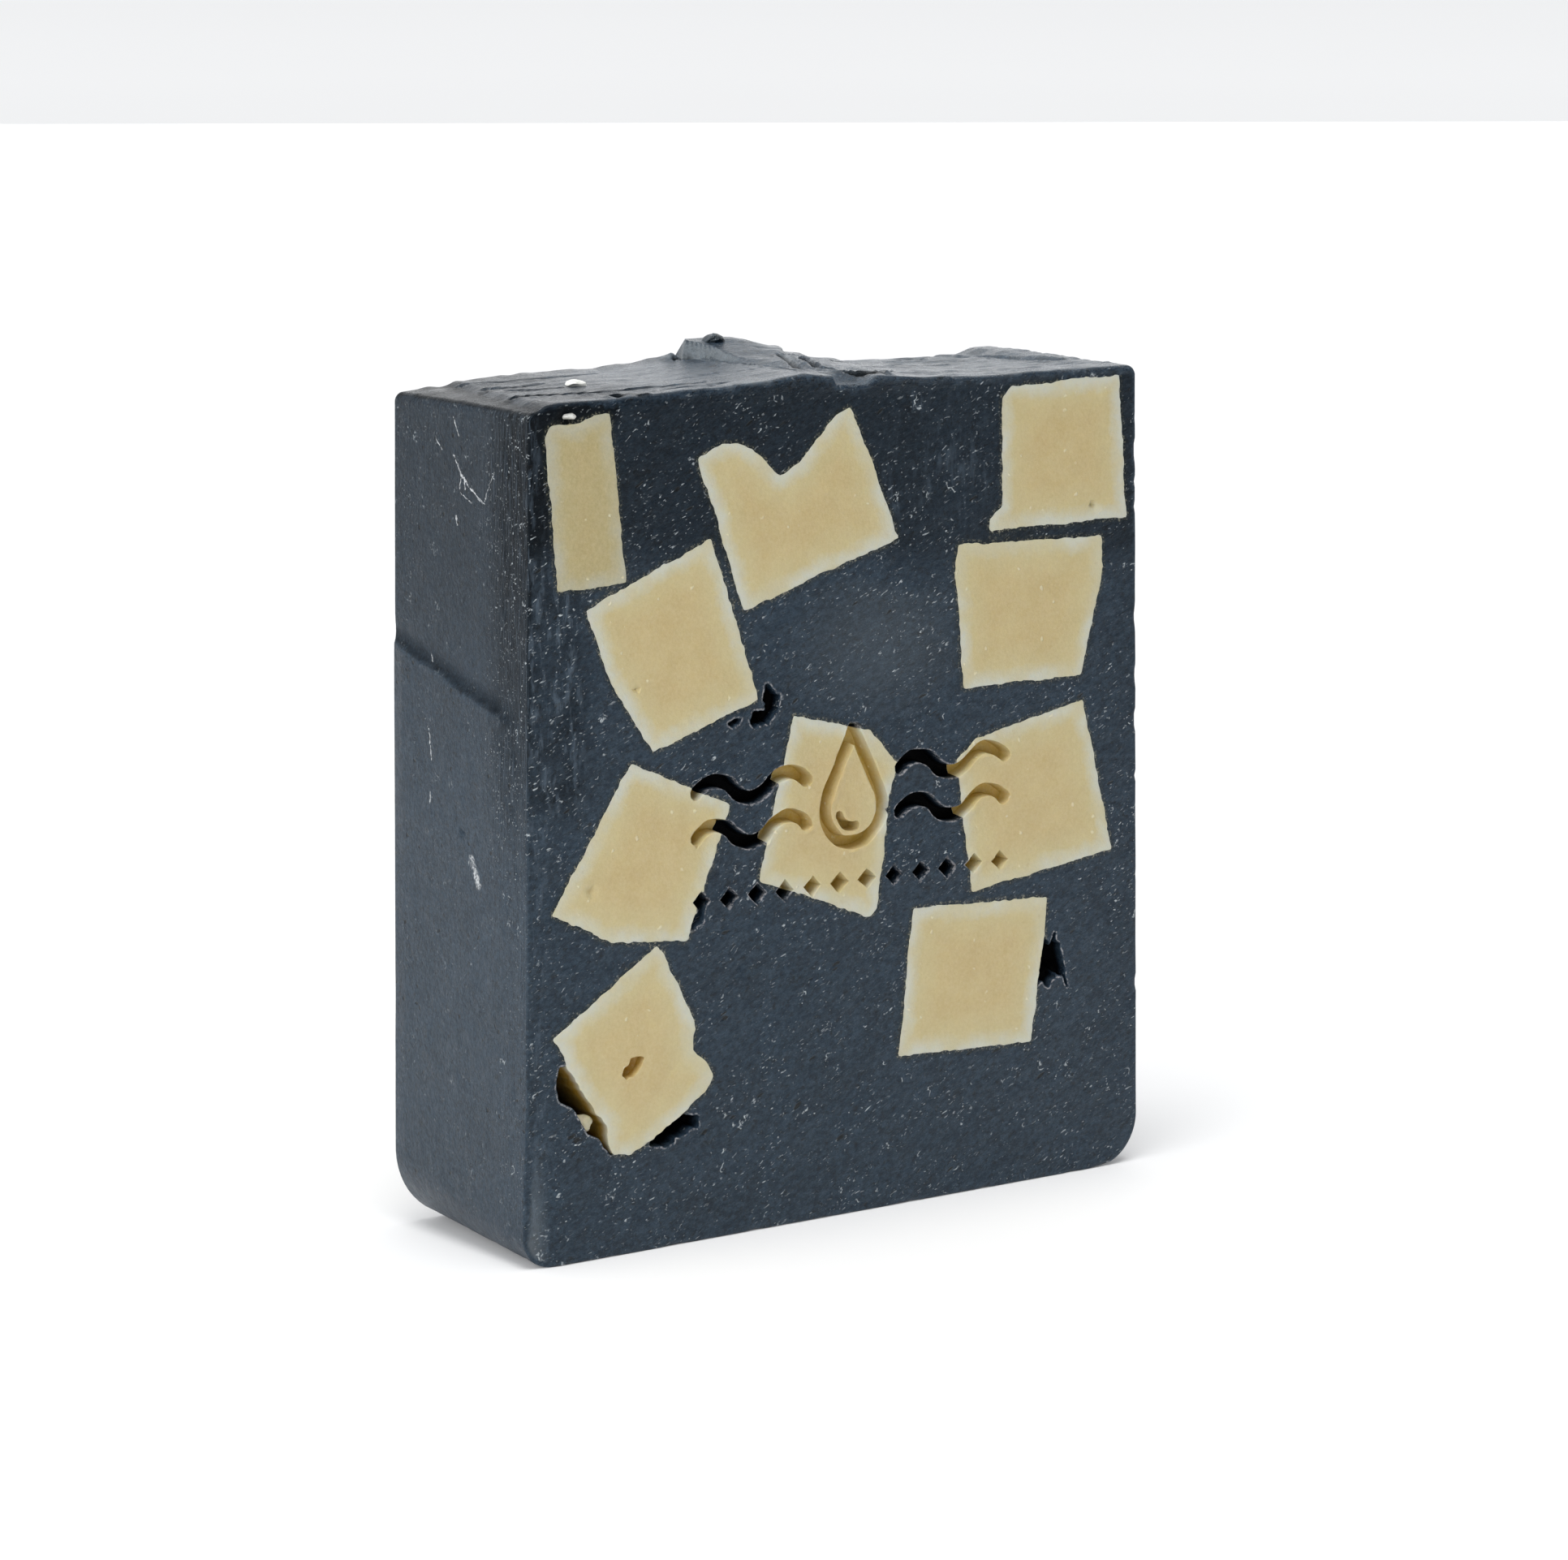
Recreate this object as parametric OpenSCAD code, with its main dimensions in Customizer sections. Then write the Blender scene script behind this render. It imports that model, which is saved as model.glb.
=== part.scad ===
// Charcoal soap bar with cream soap sticks set through it.
// The bar is one slice of a soap loaf. The sticks lay along the loaf, which is the Y axis here,
// so each shows its cut section on the front face (-Y) and again on the back face (+Y).
// Lengths are in millimetres. +Z is up, and the origin is under the middle of the bar, on the
// surface that it stands on. The front face carries the stamped motif.

/* [Bar] */
// Width at the bottom, measured as if the corners were square
base_w = 66; // [64.5:0.5:70]
// Width at the top corners
top_w = 64; // [62.5:0.5:66]
// Thickness of the slice
bar_d = 20.5; // [16:0.5:28]
// Height of the top corners
bar_h = 72; // [72:0.5:78]
// Radius of the two bottom corners, left by the loaf mould
corner_r = 5; // [2:0.5:8]

/* [Top surface] */
// Rise of the crown along the middle of the bar
crown_h = 1.1; // [0.2:0.1:3]
// Distance from the middle of the crown at which it has fallen to about a third
crown_reach = 19; // [10:1:30]
// Rise of the ridge above the crown, where it is highest
ridge_h = 2; // [0.5:0.1:4]
// Half-width of the ridge
ridge_reach = 6; // [3:0.5:10]
// Rise of the lump at the back right corner
lump_h = 0.8; // [0:0.1:2]

/* [Sticks] */
// Share of each stick's own lean that is used, where 0 sets them all square to the face
lean_share = 1; // [0:0.1:1]

/* [Voids] */
// Depth of the void where stick_lower_left shrank away from the black soap
void_depth = 8; // [2:0.5:12]
// Depth of the ragged pits and cracks
pit_depth = 2.5; // [0.5:0.1:4]

/* [Stamp] */
// Depth of the stamped motif
stamp_depth = 1.4; // [0.4:0.1:2.5]
// Width of its strokes
stroke_w = 1.1; // [0.6:0.1:1.4]
// Number of arcs in each wave
wave_arcs = 3; // [1:1:3]
// Number of diamonds in the border under the waves
diamond_count = 12; // [2:1:12]

/* [Hidden] */
$fn = 64;
charcoal_colour = [0.25, 0.28, 0.31];
cream_colour = [0.78, 0.72, 0.54];
crumb_colour = [0.86, 0.86, 0.82];

front_y = -bar_d / 2;
back_y = bar_d / 2;
// How far a cutting shape runs past the face that it opens
past = 2;

// Crown, ridge and lump of the hand-worked top. The ridge ends in a step towards the back left
// corner, and falls from there to the front edge.
crown_x = -5;
crown_steps = 16;
ridge_at = [-2.5, 7];
ridge_turn = 50;
ridge_fall = 8;
ridge_span = [-24, 2];
ridge_steps = 8;
ridge_root = 3;
lump_at = [31, 10];
lump_r = 30;

// One row for each stick: its node, its section on the front face as [x, z] points, and its
// lean as degrees about X and about Z.
STICKS = [
    ["stick_top_left",
        [[-30.4, 69.8], [-30.1, 70.5], [-29.4, 70.75], [-27, 70.75], [-25.4, 71.3], [-24, 71.4],
         [-22.5, 57.2], [-29.3, 57]],
        [-2, -2]],
    ["stick_top_centre",
        [[-15.2, 67], [-13.3, 67.9], [-11.2, 68.1], [-9.4, 67.4], [-6.7, 64.8], [-4.3, 66.2],
         [-1, 69.6], [0.6, 70.3], [3.1, 65.2], [5.8, 58.7], [-10.5, 53.8]],
        [-2, 1]],
    ["stick_top_right",
        [[17.1, 70], [18.1, 71], [30.1, 71.2], [31, 58.6], [15.8, 58.6], [15.8, 59.6],
         [17.1, 60.5]],
        [-2, 2]],
    ["stick_upper_left",
        [[-26.6, 55.2], [-13.9, 60.2], [-9, 46.1], [-19.9, 42.7], [-23.9, 48.6]],
        [-1.5, -1]],
    ["stick_upper_right",
        [[12.3, 57.6], [28.2, 57.1], [28.4, 54.4], [26.1, 45], [13, 45], [12, 55.4]],
        [-2, 1]],
    ["stick_mid_left",
        [[-22.1, 42], [-12, 37.4], [-16.5, 26.3], [-24.2, 27], [-30.2, 30]],
        [1.5, -1]],
    ["stick_centre",
        [[-5.3, 44.4], [2.8, 42.3], [5.8, 39.2], [4.9, 36.5], [3.6, 26.7], [2.8, 26],
         [-9, 30.5]],
        [1.5, -2]],
    ["stick_mid_right",
        [[14.3, 40.4], [26.2, 42.7], [29.7, 28.9], [13.9, 26.9], [12.2, 38.8]],
        [-1, 1.5]],
    ["stick_lower_left",
        [[-19.6, 26.2], [-19, 25.5], [-15.5, 18.5], [-15.9, 18], [-15.9, 16.8], [-14.4, 15.4],
         [-13.9, 14.2], [-14.6, 13.1], [-16.5, 11.8], [-20.4, 9.4], [-22.5, 8.5], [-24.1, 8.8],
         [-24.6, 9.6], [-24.9, 11.3], [-28.8, 16.8], [-29.1, 17.9], [-30.2, 19.5]],
        [-1.5, -2]],
    ["stick_lower_right",
        [[7.5, 26.2], [22.4, 25.5], [20.7, 12.6], [6, 13.3]],
        [-2, 1]],
];
// The sticks that the stamp crosses
STAMPED = ["stick_mid_left", "stick_centre", "stick_mid_right"];

// One row for each crumb: its node, its centre, its radius and its colour.
CRUMBS = [
    ["crumb_in_void", [-26.8, front_y + 0.9, 11.7], 0.9, cream_colour],
    ["crumb_over_stick", [-27.8, front_y + 0.5, 71.3], 0.5, crumb_colour],
    ["crumb_on_crest", [-1.3, 7, 74.7], 0.8, charcoal_colour],
    ["crumb_on_top", [-20.7, -0.4, 72.75], 0.7, crumb_colour],
];

// Openings in the front face of the black soap, as [x, z] points
void_outline = [[-28.6, 18.4], [-29.9, 16.3], [-29.4, 14.2], [-27.8, 12.1], [-25.9, 10.1],
                [-24.4, 8.5], [-23.6, 11]];
left_pit_outline = [[-20.8, 12], [-20.6, 8.5], [-18, 8.7], [-15.4, 9.7], [-15.5, 11.1],
                    [-17.6, 13.4]];
right_pit_outline = [[20.6, 17], [22.2, 17.3], [24.9, 16.6], [23.6, 22.3], [22.3, 21.2],
                     [20.8, 22.4]];
crack_outline = [[-12.4, 44.1], [-9.6, 44.7], [-8.2, 47.3], [-6.7, 46.2], [-7.2, 44.5],
                 [-9, 43.4]];
// Pit in the face of stick_lower_left
stick_pit_outline = [[-23, 15.9], [-22.4, 17], [-21.2, 16.9], [-21, 16], [-22.2, 15.2]];
stick_pit_depth = 3;

// Stamped motif: a drop between two pairs of waves, over a border of diamonds
stamp_x = 1;
drop_r = 3.6;
drop_z = 35.8;
drop_rise = 8;
glint_r = 1.6;
glint_w = 0.7;
wave_gap = 5;
wave_heights = [34.9, 38.7];
arc_r = 2.5;
arc_half = 50;
arc_chord = 2 * arc_r * sin(arc_half);
diamond_z = 29.4;
diamond_r = 0.85;
border_w = 32;

// Turns a drawing of the front face, in X and Z, into a solid from y to y + depth
module from_face(y, depth) {
    translate([0, y + depth, 0])
        rotate([90, 0, 0])
            linear_extrude(depth)
                children();
}

function bell(distance, reach) = exp(-pow(distance / reach, 2));

// Sides of the loaf, which close in upwards, and its two round bottom corners
module loaf_section() {
    tall = bar_h + 10;
    lean_in = (base_w - top_w) / 2 / bar_h;
    difference() {
        polygon([
            [-base_w / 2, 0], [-base_w / 2 + lean_in * tall, tall],
            [base_w / 2 - lean_in * tall, tall], [base_w / 2, 0]]);
        for (side = [0, 1])
            mirror([side, 0])
                corner_waste(lean_in);
    }
}

// What a round corner leaves off a square one. The arc meets the bottom and the leaning side.
module corner_waste(lean_in) {
    side_way = [1, lean_in] / norm([1, lean_in]);
    middle = [base_w / 2 - lean_in * corner_r - corner_r * norm([1, lean_in]), corner_r];
    far = corner_r + past;
    difference() {
        polygon([middle, middle + [0, -far], middle + [far, -far], middle + far * side_way]);
        translate(middle)
            circle(corner_r);
    }
}

// Everything under the crowned top, wider and deeper than the bar
module crown_block() {
    half = base_w / 2 + past;
    curve = [for (i = [0:crown_steps])
        let (x = half * (2 * i / crown_steps - 1))
        [x, bar_h + crown_h * bell(x - crown_x, crown_reach)]];
    from_face(front_y - past, bar_d + 2 * past)
        polygon(concat([[-half, -past]], curve, [[half, -past]]));
}

// The ridge that the top was pulled up into. Its section is an arch that runs under the crown.
module ridge() {
    curve = [for (i = [0:ridge_steps])
        let (side = 2 * i / ridge_steps - 1)
        [ridge_reach * side, ridge_h - (ridge_h + ridge_root) * side * side]];
    translate([ridge_at[0], ridge_at[1], bar_h + crown_h])
        rotate([ridge_fall, 0, ridge_turn])
            from_face(ridge_span[0], ridge_span[1] - ridge_span[0])
                polygon(curve);
}

module lump() {
    translate([lump_at[0], lump_at[1], bar_h + lump_h - lump_r])
        sphere(lump_r);
}

module cast_bar() {
    intersection() {
        from_face(front_y, bar_d)
            loaf_section();
        union() {
            crown_block();
            ridge();
            lump();
        }
    }
}

// A stick longer than the bar is deep, leaning about the middle of its front section
module stick_bar(stick) {
    outline = stick[1];
    lean = stick[2] * lean_share;
    middle = [for (p = outline) 1] * outline / len(outline);
    translate([middle[0], front_y, middle[1]])
        rotate([lean[0], 0, lean[1]])
            from_face(-past, bar_d + 2 * past)
                translate(-middle)
                    polygon(outline);
}

module front_cut(depth) {
    from_face(front_y - past, depth + past)
        children();
}

module drop_shape(r, rise) {
    half = acos(r / rise);
    circle(r);
    polygon([[0, 0], r * [sin(half), cos(half)], [0, rise], r * [-sin(half), cos(half)]]);
}

// A stroke along a circle between two angles, which are less than half a turn apart
module arc_stroke(r, from, to, w) {
    far = 2 * r;
    intersection() {
        difference() {
            circle(r + w / 2);
            circle(r - w / 2);
        }
        polygon([[0, 0], far * [cos(from), sin(from)],
                 far * [cos((from + to) / 2), sin((from + to) / 2)],
                 far * [cos(to), sin(to)]]);
    }
}

module wave() {
    sink = arc_r * cos(arc_half);
    for (i = [0:wave_arcs - 1])
        translate([(i + 0.5) * arc_chord, 0])
            mirror([0, i % 2])
                translate([0, -sink])
                    arc_stroke(arc_r, 90 - arc_half, 90 + arc_half, stroke_w);
}

module drop_outline() {
    inner_r = drop_r - stroke_w;
    difference() {
        drop_shape(drop_r, drop_rise);
        drop_shape(inner_r, drop_rise * inner_r / drop_r);
    }
    arc_stroke(glint_r, 200, 280, glint_w);
}

module motif() {
    translate([stamp_x, drop_z])
        drop_outline();
    for (side = [0, 1])
        for (z = wave_heights)
            translate([stamp_x, z])
                mirror([side, 0])
                    translate([wave_gap, 0])
                        wave();
    for (i = [0:diamond_count - 1])
        translate([stamp_x + border_w * (i / (diamond_count - 1) - 0.5), diamond_z])
            circle(diamond_r, $fn = 4);
}

module stamp() {
    front_cut(stamp_depth)
        motif();
}

module crumb(row) {
    translate(row[1])
        sphere(row[2]);
}

module charcoal_base() {
    color(charcoal_colour)
        difference() {
            cast_bar();
            for (stick = STICKS)
                stick_bar(stick);
            front_cut(void_depth)
                polygon(void_outline);
            for (outline = [left_pit_outline, right_pit_outline, crack_outline])
                front_cut(pit_depth)
                    polygon(outline);
            stamp();
            for (row = CRUMBS)
                crumb(row);
        }
}

module stick(row) {
    color(cream_colour)
        difference() {
            intersection() {
                stick_bar(row);
                translate([-base_w, front_y, 0])
                    cube([2 * base_w, bar_d, bar_h]);
            }
            if (len([for (name = STAMPED) if (name == row[0]) 1]) > 0)
                stamp();
            if (row[0] == "stick_lower_left")
                front_cut(stick_pit_depth)
                    polygon(stick_pit_outline);
        }
}

charcoal_base();
for (row = STICKS)
    stick(row);
for (row = CRUMBS)
    color(row[3]) crumb(row);
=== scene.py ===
"""Charcoal soap bar with cream soap sticks: the visual model, its materials, lights and camera.

Shapes are worked out in millimetres, in the row's frame, and turned into metres by add_object().
Each cream stick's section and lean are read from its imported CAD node.
"""

import math

import bmesh
import bpy
import numpy as np
from mathutils import Matrix, Vector
from mathutils.geometry import delaunay_2d_cdt
from mathutils.kdtree import KDTree


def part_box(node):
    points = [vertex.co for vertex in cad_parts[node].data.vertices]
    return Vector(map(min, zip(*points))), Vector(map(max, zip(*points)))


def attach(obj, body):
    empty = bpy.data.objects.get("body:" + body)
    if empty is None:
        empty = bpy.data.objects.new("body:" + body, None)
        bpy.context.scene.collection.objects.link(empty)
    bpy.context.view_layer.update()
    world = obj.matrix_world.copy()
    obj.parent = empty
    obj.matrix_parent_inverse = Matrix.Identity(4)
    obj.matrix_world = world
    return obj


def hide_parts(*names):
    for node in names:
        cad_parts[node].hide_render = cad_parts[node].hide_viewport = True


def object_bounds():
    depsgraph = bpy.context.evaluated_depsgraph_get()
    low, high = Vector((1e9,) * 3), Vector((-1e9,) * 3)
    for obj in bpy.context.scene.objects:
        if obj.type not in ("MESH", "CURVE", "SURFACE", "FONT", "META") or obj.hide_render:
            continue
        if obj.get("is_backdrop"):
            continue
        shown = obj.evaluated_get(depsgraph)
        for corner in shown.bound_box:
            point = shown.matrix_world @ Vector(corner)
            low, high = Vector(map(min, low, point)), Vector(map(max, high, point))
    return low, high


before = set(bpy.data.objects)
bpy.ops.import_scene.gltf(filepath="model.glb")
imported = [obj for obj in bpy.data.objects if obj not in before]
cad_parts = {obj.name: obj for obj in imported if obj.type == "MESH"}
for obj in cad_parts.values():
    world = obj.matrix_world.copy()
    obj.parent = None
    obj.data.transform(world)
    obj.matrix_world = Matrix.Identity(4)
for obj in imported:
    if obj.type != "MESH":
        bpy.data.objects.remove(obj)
cad_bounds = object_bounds()

MM = 0.001
CREAM_STICKS = sorted(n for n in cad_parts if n.startswith("stick_"))

# ---------------------------------------------------------------- the bar's measures, from the CAD


def cad_points(node):
    """A CAD node's corner points in mm, with doubled points merged, and its triangles."""
    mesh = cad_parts[node].data
    mesh.calc_loop_triangles()
    places, merged, points = {}, [], []
    for v in mesh.vertices:
        key = tuple(round(c / MM, 3) for c in v.co)
        if key not in places:
            places[key] = len(points)
            points.append(key)
        merged.append(places[key])
    triangles = [tuple(merged[i] for i in t.vertices) for t in mesh.loop_triangles]
    return np.array(points), triangles


BASE_LOW, BASE_HIGH = (np.array(corner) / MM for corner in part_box("charcoal_base"))
FRONT, BACK = BASE_LOW[1], BASE_HIGH[1]
DEPTH = BACK - FRONT
base_points, _ = cad_points("charcoal_base")
side_low = base_points[np.argmax(base_points[:, 0])]
upper_points = base_points[base_points[:, 2] > 0.8 * BASE_HIGH[2]]
side_high = upper_points[np.argmax(upper_points[:, 0] + upper_points[:, 2] * 0.001)]
LEAN_IN = (side_low[0] - side_high[0]) / (side_high[2] - side_low[2])
BASE_HALF = side_low[0] + LEAN_IN * side_low[2]
CORNER_Z = side_high[2]


def half_width(z):
    """Distance from the middle of the bar to its flat side, at a height."""
    return BASE_HALF - LEAN_IN * z


# ---------------------------------------------------------------- noise, curves and distances


def scramble(ix, iy, iz, seed):
    """A number from 0 to 1 for each lattice point, the same on every run."""
    h = (ix * 374761393 + iy * 668265263 + iz * 2246822519 + seed * 3266489917) & 0xFFFFFFFF
    h = ((h ^ (h >> 13)) * 1274126177) & 0xFFFFFFFF
    return ((h ^ (h >> 16)) & 0xFFFFFF) / float(0xFFFFFF)


def noise(p, size, seed):
    """Smooth noise from -1 to 1 at points in mm. size is its grain, one number or one per axis.
    Each use has a seed of its own."""
    p = np.asarray(p, float)
    if p.shape[1] == 2:
        p = np.column_stack([p, np.zeros(len(p))])
    q = p / size
    cell = np.floor(q).astype(np.int64)
    f = q - cell
    u = f * f * (3 - 2 * f)
    total = np.zeros(len(p))
    for dx in (0, 1):
        wx = u[:, 0] if dx else 1 - u[:, 0]
        for dy in (0, 1):
            wy = u[:, 1] if dy else 1 - u[:, 1]
            for dz in (0, 1):
                wz = u[:, 2] if dz else 1 - u[:, 2]
                corner = scramble(cell[:, 0] + dx, cell[:, 1] + dy, cell[:, 2] + dz, seed)
                total += wx * wy * wz * corner
    return 2 * total - 1


def layered(p, size, seed, layers=3):
    """Noise in layers, each half as coarse and half as strong as the last."""
    size = np.asarray(size, float)
    return sum(noise(p, size / 2**k, seed + k) / 2**k for k in range(layers))


def step(x, low, high):
    """0 at low, 1 at high, smooth between and level beyond. It falls where low is above high."""
    t = np.clip((x - low) / (high - low), 0, 1)
    return t * t * (3 - 2 * t)


def between(x, start, full, fading, end):
    """0 up to start, 1 from full to fading, 0 from end on."""
    return step(x, start, full) * step(x, end, fading)


def bell(x, reach):
    """1 at 0, falling to a third at reach on both sides."""
    return np.exp(-((x / reach) ** 2))


def resample(loop, spacing):
    """Points along a closed loop at about a spacing. Its corners are kept."""
    out = []
    for a, b in zip(loop, np.roll(loop, -1, axis=0)):
        n = max(1, int(round(np.linalg.norm(b - a) / spacing)))
        out.extend(a + (b - a) * k / n for k in range(n))
    return np.array(out)


def soften(loop, rounds):
    """Rounds a closed loop's corners."""
    for _ in range(rounds):
        loop = 0.5 * loop + 0.25 * (np.roll(loop, 1, axis=0) + np.roll(loop, -1, axis=0))
    return loop


def loop_normals(loop):
    """Unit normals of a closed loop that runs clockwise in X and Z, pointing out of it."""
    ahead = np.roll(loop, -1, axis=0) - np.roll(loop, 1, axis=0)
    out = np.column_stack([-ahead[:, 1], ahead[:, 0]])
    return out / np.linalg.norm(out, axis=1)[:, None]


def turning(loop):
    """Twice the area in a closed loop, negative if it runs clockwise."""
    x, z = loop[:, 0], loop[:, 1]
    return np.sum(x * np.roll(z, -1) - np.roll(x, -1) * z)


def shares_along(loop):
    """Each point's share of the way round a closed loop."""
    steps = np.linalg.norm(np.roll(loop, -1, axis=0) - loop, axis=1)
    return np.concatenate([[0], np.cumsum(steps)[:-1]]) / steps.sum()


def clockwise(loop):
    """The loop, turned over if it runs anticlockwise."""
    return loop[::-1] if turning(loop) > 0 else loop


def roughen(loop, amount, size, seed):
    """Moves a closed loop's points in and out."""
    return loop + loop_normals(loop) * (amount * layered(loop, size, seed, 2))[:, None]


def inside(points, loop):
    """Which points lie in a closed loop."""
    result = np.zeros(len(points), bool)
    near = np.all((points > loop.min(axis=0)) & (points < loop.max(axis=0)), axis=1)
    p = points[near]
    hits = np.zeros(len(p), bool)
    for a, b in zip(loop, np.roll(loop, -1, axis=0)):
        crosses = (a[1] > p[:, 1]) != (b[1] > p[:, 1])
        at = a[0] + (p[:, 1] - a[1]) * (b[0] - a[0]) / ((b[1] - a[1]) or 1e-12)
        hits ^= crosses & (p[:, 0] < at)
    result[near] = hits
    return result


def path_distance(points, path, closed=False, far=4.0):
    """Distance from points to a path, or far where it is further than that."""
    result = np.full(len(points), far)
    near = np.all((points > path.min(axis=0) - far) & (points < path.max(axis=0) + far), axis=1)
    p = points[near]
    best = np.full(len(p), far)
    ends = np.roll(path, -1, axis=0) if closed else path[1:]
    for a, b in zip(path, ends):
        run = b - a
        t = np.clip(((p - a) @ run) / max(run @ run, 1e-12), 0, 1)
        best = np.minimum(best, np.linalg.norm(p - a - t[:, None] * run, axis=1))
    result[near] = best
    return result


def signed_distance(points, loop, far=4.0):
    """Distance to a closed loop, negative in it."""
    d = path_distance(points, loop, closed=True, far=far)
    return np.where(inside(points, loop), -d, d)


# ---------------------------------------------------------------- cream sticks: sections and leans


def end_section(points, triangles, y):
    """The closed outline of a node's flat end at y, in X and Z."""
    flat = [t for t in triangles if all(abs(points[i][1] - y) < 0.01 for i in t)]
    seen = {}
    for t in flat:
        for k in range(3):
            edge = (t[k], t[(k + 1) % 3])
            seen[edge] = edge
    after = {a: b for a, b in seen if (b, a) not in seen}
    start = next(iter(after))
    loop, here = [start], after[start]
    while here != start:
        loop.append(here)
        here = after[here]
    return clockwise(points[loop][:, [0, 2]])


def lean_of(points, section):
    """How far a stick's front end lies from its back end, in X and Z."""
    at_front = points[np.abs(points[:, 1] - FRONT) < 0.01][:, [0, 2]]
    best, most = np.zeros(2), -1
    for candidate in at_front:
        for corner in section:
            shift = candidate - corner
            if np.abs(shift).max() > 3:
                continue
            gaps = np.linalg.norm((section + shift)[:, None] - at_front[None], axis=2).min(axis=1)
            matched = np.sum(gaps < 0.05)
            if matched > most:
                best, most = shift, matched
    return best


STICK_SPACING = 0.22
# The stick whose cut face is painted in shade, darker than the others
SHADED_STICK = "stick_top_left"
WALL_ROWS = 14


def stick_loops():
    """For each stick, its outline on the front and on the back, point for point."""
    loops = {}
    for k, name in enumerate(CREAM_STICKS):
        points, triangles = cad_points(name)
        section = end_section(points, triangles, BACK)
        shift = lean_of(points, section)
        plain = soften(resample(section, STICK_SPACING), 1)
        front = roughen(roughen(plain + shift, 0.08, 2.2, 10 + k), 0.085, 0.55, 20 + k)
        back = roughen(roughen(plain, 0.08, 2.2, 40 + k), 0.055, 0.5, 50 + k)
        loops[name] = (front, back, shift)
    return loops


STICKS = stick_loops()

# ---------------------------------------------------------------- stamped motif

STAMP_X = 1.0
STAMP_DEPTH = 1.4
STROKE = 1.1
DROP_R, DROP_Z, DROP_RISE = 3.6, 35.8, 8.0
GLINT_R, GLINT_STROKE = 1.6, 0.7
WAVE_GAP, WAVE_ARCS, WAVE_HEIGHTS = 5.0, 3, (34.9, 38.7)
ARC_R, ARC_HALF = 2.5, math.radians(50)
DIAMOND_COUNT, DIAMOND_R, DIAMOND_Z, BORDER_W = 12, 0.85, 29.4, 32.0
# Half the width that a stroke's sloping wall takes up, and how far strokes stray from their lines
WALL_HALF, WAVER = 0.09, 0.09


def arc(middle, r, start, end, count):
    """Points along an arc between two angles in degrees."""
    turns = np.radians(np.linspace(start, end, count))
    return np.array(middle) + r * np.column_stack([np.cos(turns), np.sin(turns)])


def wave_path(side, height):
    """The middle line of one wave, to the right or left of the drop."""
    chord = 2 * ARC_R * math.sin(ARC_HALF)
    sink = ARC_R * math.cos(ARC_HALF)
    spread = math.degrees(ARC_HALF)
    parts = []
    for i in range(WAVE_ARCS):
        up = -1 if i % 2 else 1
        piece = arc((0, 0), ARC_R, 90 + spread, 90 - spread, 12) - [0, sink]
        parts.append(piece * [1, up] + [(i + 0.5) * chord, 0])
    path = np.vstack([parts[0]] + [p[1:] for p in parts[1:]]) + [WAVE_GAP, 0]
    return path * [side, 1] + [STAMP_X, height]


def drop_path():
    """The middle line of the drop's outline, closed."""
    r = DROP_R - STROKE / 2
    rise = DROP_RISE * r / DROP_R
    half = math.degrees(math.acos(r / rise))
    round_part = arc((0, 0), r, 90 + half, 450 - half, 36)
    sides = [np.linspace(round_part[-1], (0, rise), 10), np.linspace((0, rise), round_part[0], 10)]
    return np.vstack([round_part[:-1], sides[0], sides[1][1:-1]]) + [STAMP_X, DROP_Z]


WAVES = [wave_path(side, z) for side in (-1, 1) for z in WAVE_HEIGHTS]
DROP = drop_path()
GLINT = arc((STAMP_X, DROP_Z), GLINT_R, 200, 280, 8)
DIAMONDS = [
    np.array([STAMP_X + BORDER_W * (i / (DIAMOND_COUNT - 1) - 0.5), DIAMOND_Z])
    for i in range(DIAMOND_COUNT)
]


def waver(p):
    """How far the stamped strokes stray from their lines at points of the face."""
    return WAVER * np.column_stack([noise(p, 0.9, 71), noise(p, 0.9, 72)])


def stamp_distance(p):
    """Distance to the edge of the nearest stamped stroke, negative in a stroke."""
    p = p + waver(p)
    d = path_distance(p, DROP, closed=True) - STROKE / 2
    for path in WAVES:
        d = np.minimum(d, path_distance(p, path) - STROKE / 2)
    d = np.minimum(d, path_distance(p, GLINT) - GLINT_STROKE / 2)
    for middle in DIAMONDS:
        d = np.minimum(d, (np.abs(p - middle).sum(axis=1) - DIAMOND_R) / math.sqrt(2))
    return d


def stroke_outline(path, half, closed=False):
    """The loops that bound a stroke along a path."""
    if closed:
        normals = loop_normals(path)
        return [path + normals * half, path - normals * half]
    along = np.gradient(path, axis=0)
    along /= np.linalg.norm(along, axis=1)[:, None]
    across = np.column_stack([-along[:, 1], along[:, 0]])
    first = math.degrees(math.atan2(across[0][1], across[0][0]))
    last = math.degrees(math.atan2(across[-1][1], across[-1][0]))
    start_cap = arc(path[0], half, first + 150, first + 30, 4)
    end_cap = arc(path[-1], half, last - 30, last - 150, 4)
    return [np.vstack([path + across * half, end_cap, (path - across * half)[::-1], start_cap])]


def stamp_outlines():
    """Loops at the top and at the foot of the stamp's walls."""
    loops = []
    for grow in (WALL_HALF, -WALL_HALF):
        for path in WAVES:
            loops += stroke_outline(path, STROKE / 2 + grow)
        loops += stroke_outline(DROP, STROKE / 2 + grow, closed=True)
        loops += stroke_outline(GLINT, GLINT_STROKE / 2 + grow)
        r = DIAMOND_R + grow * math.sqrt(2)
        corner = r * np.array([[0, 1], [1, 0], [0, -1], [-1, 0]])
        loops += [resample(middle + corner, 0.4) for middle in DIAMONDS]
    return [loop - waver(loop) for loop in loops]


# ---------------------------------------------------------------- voids and pits in the front face


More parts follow.
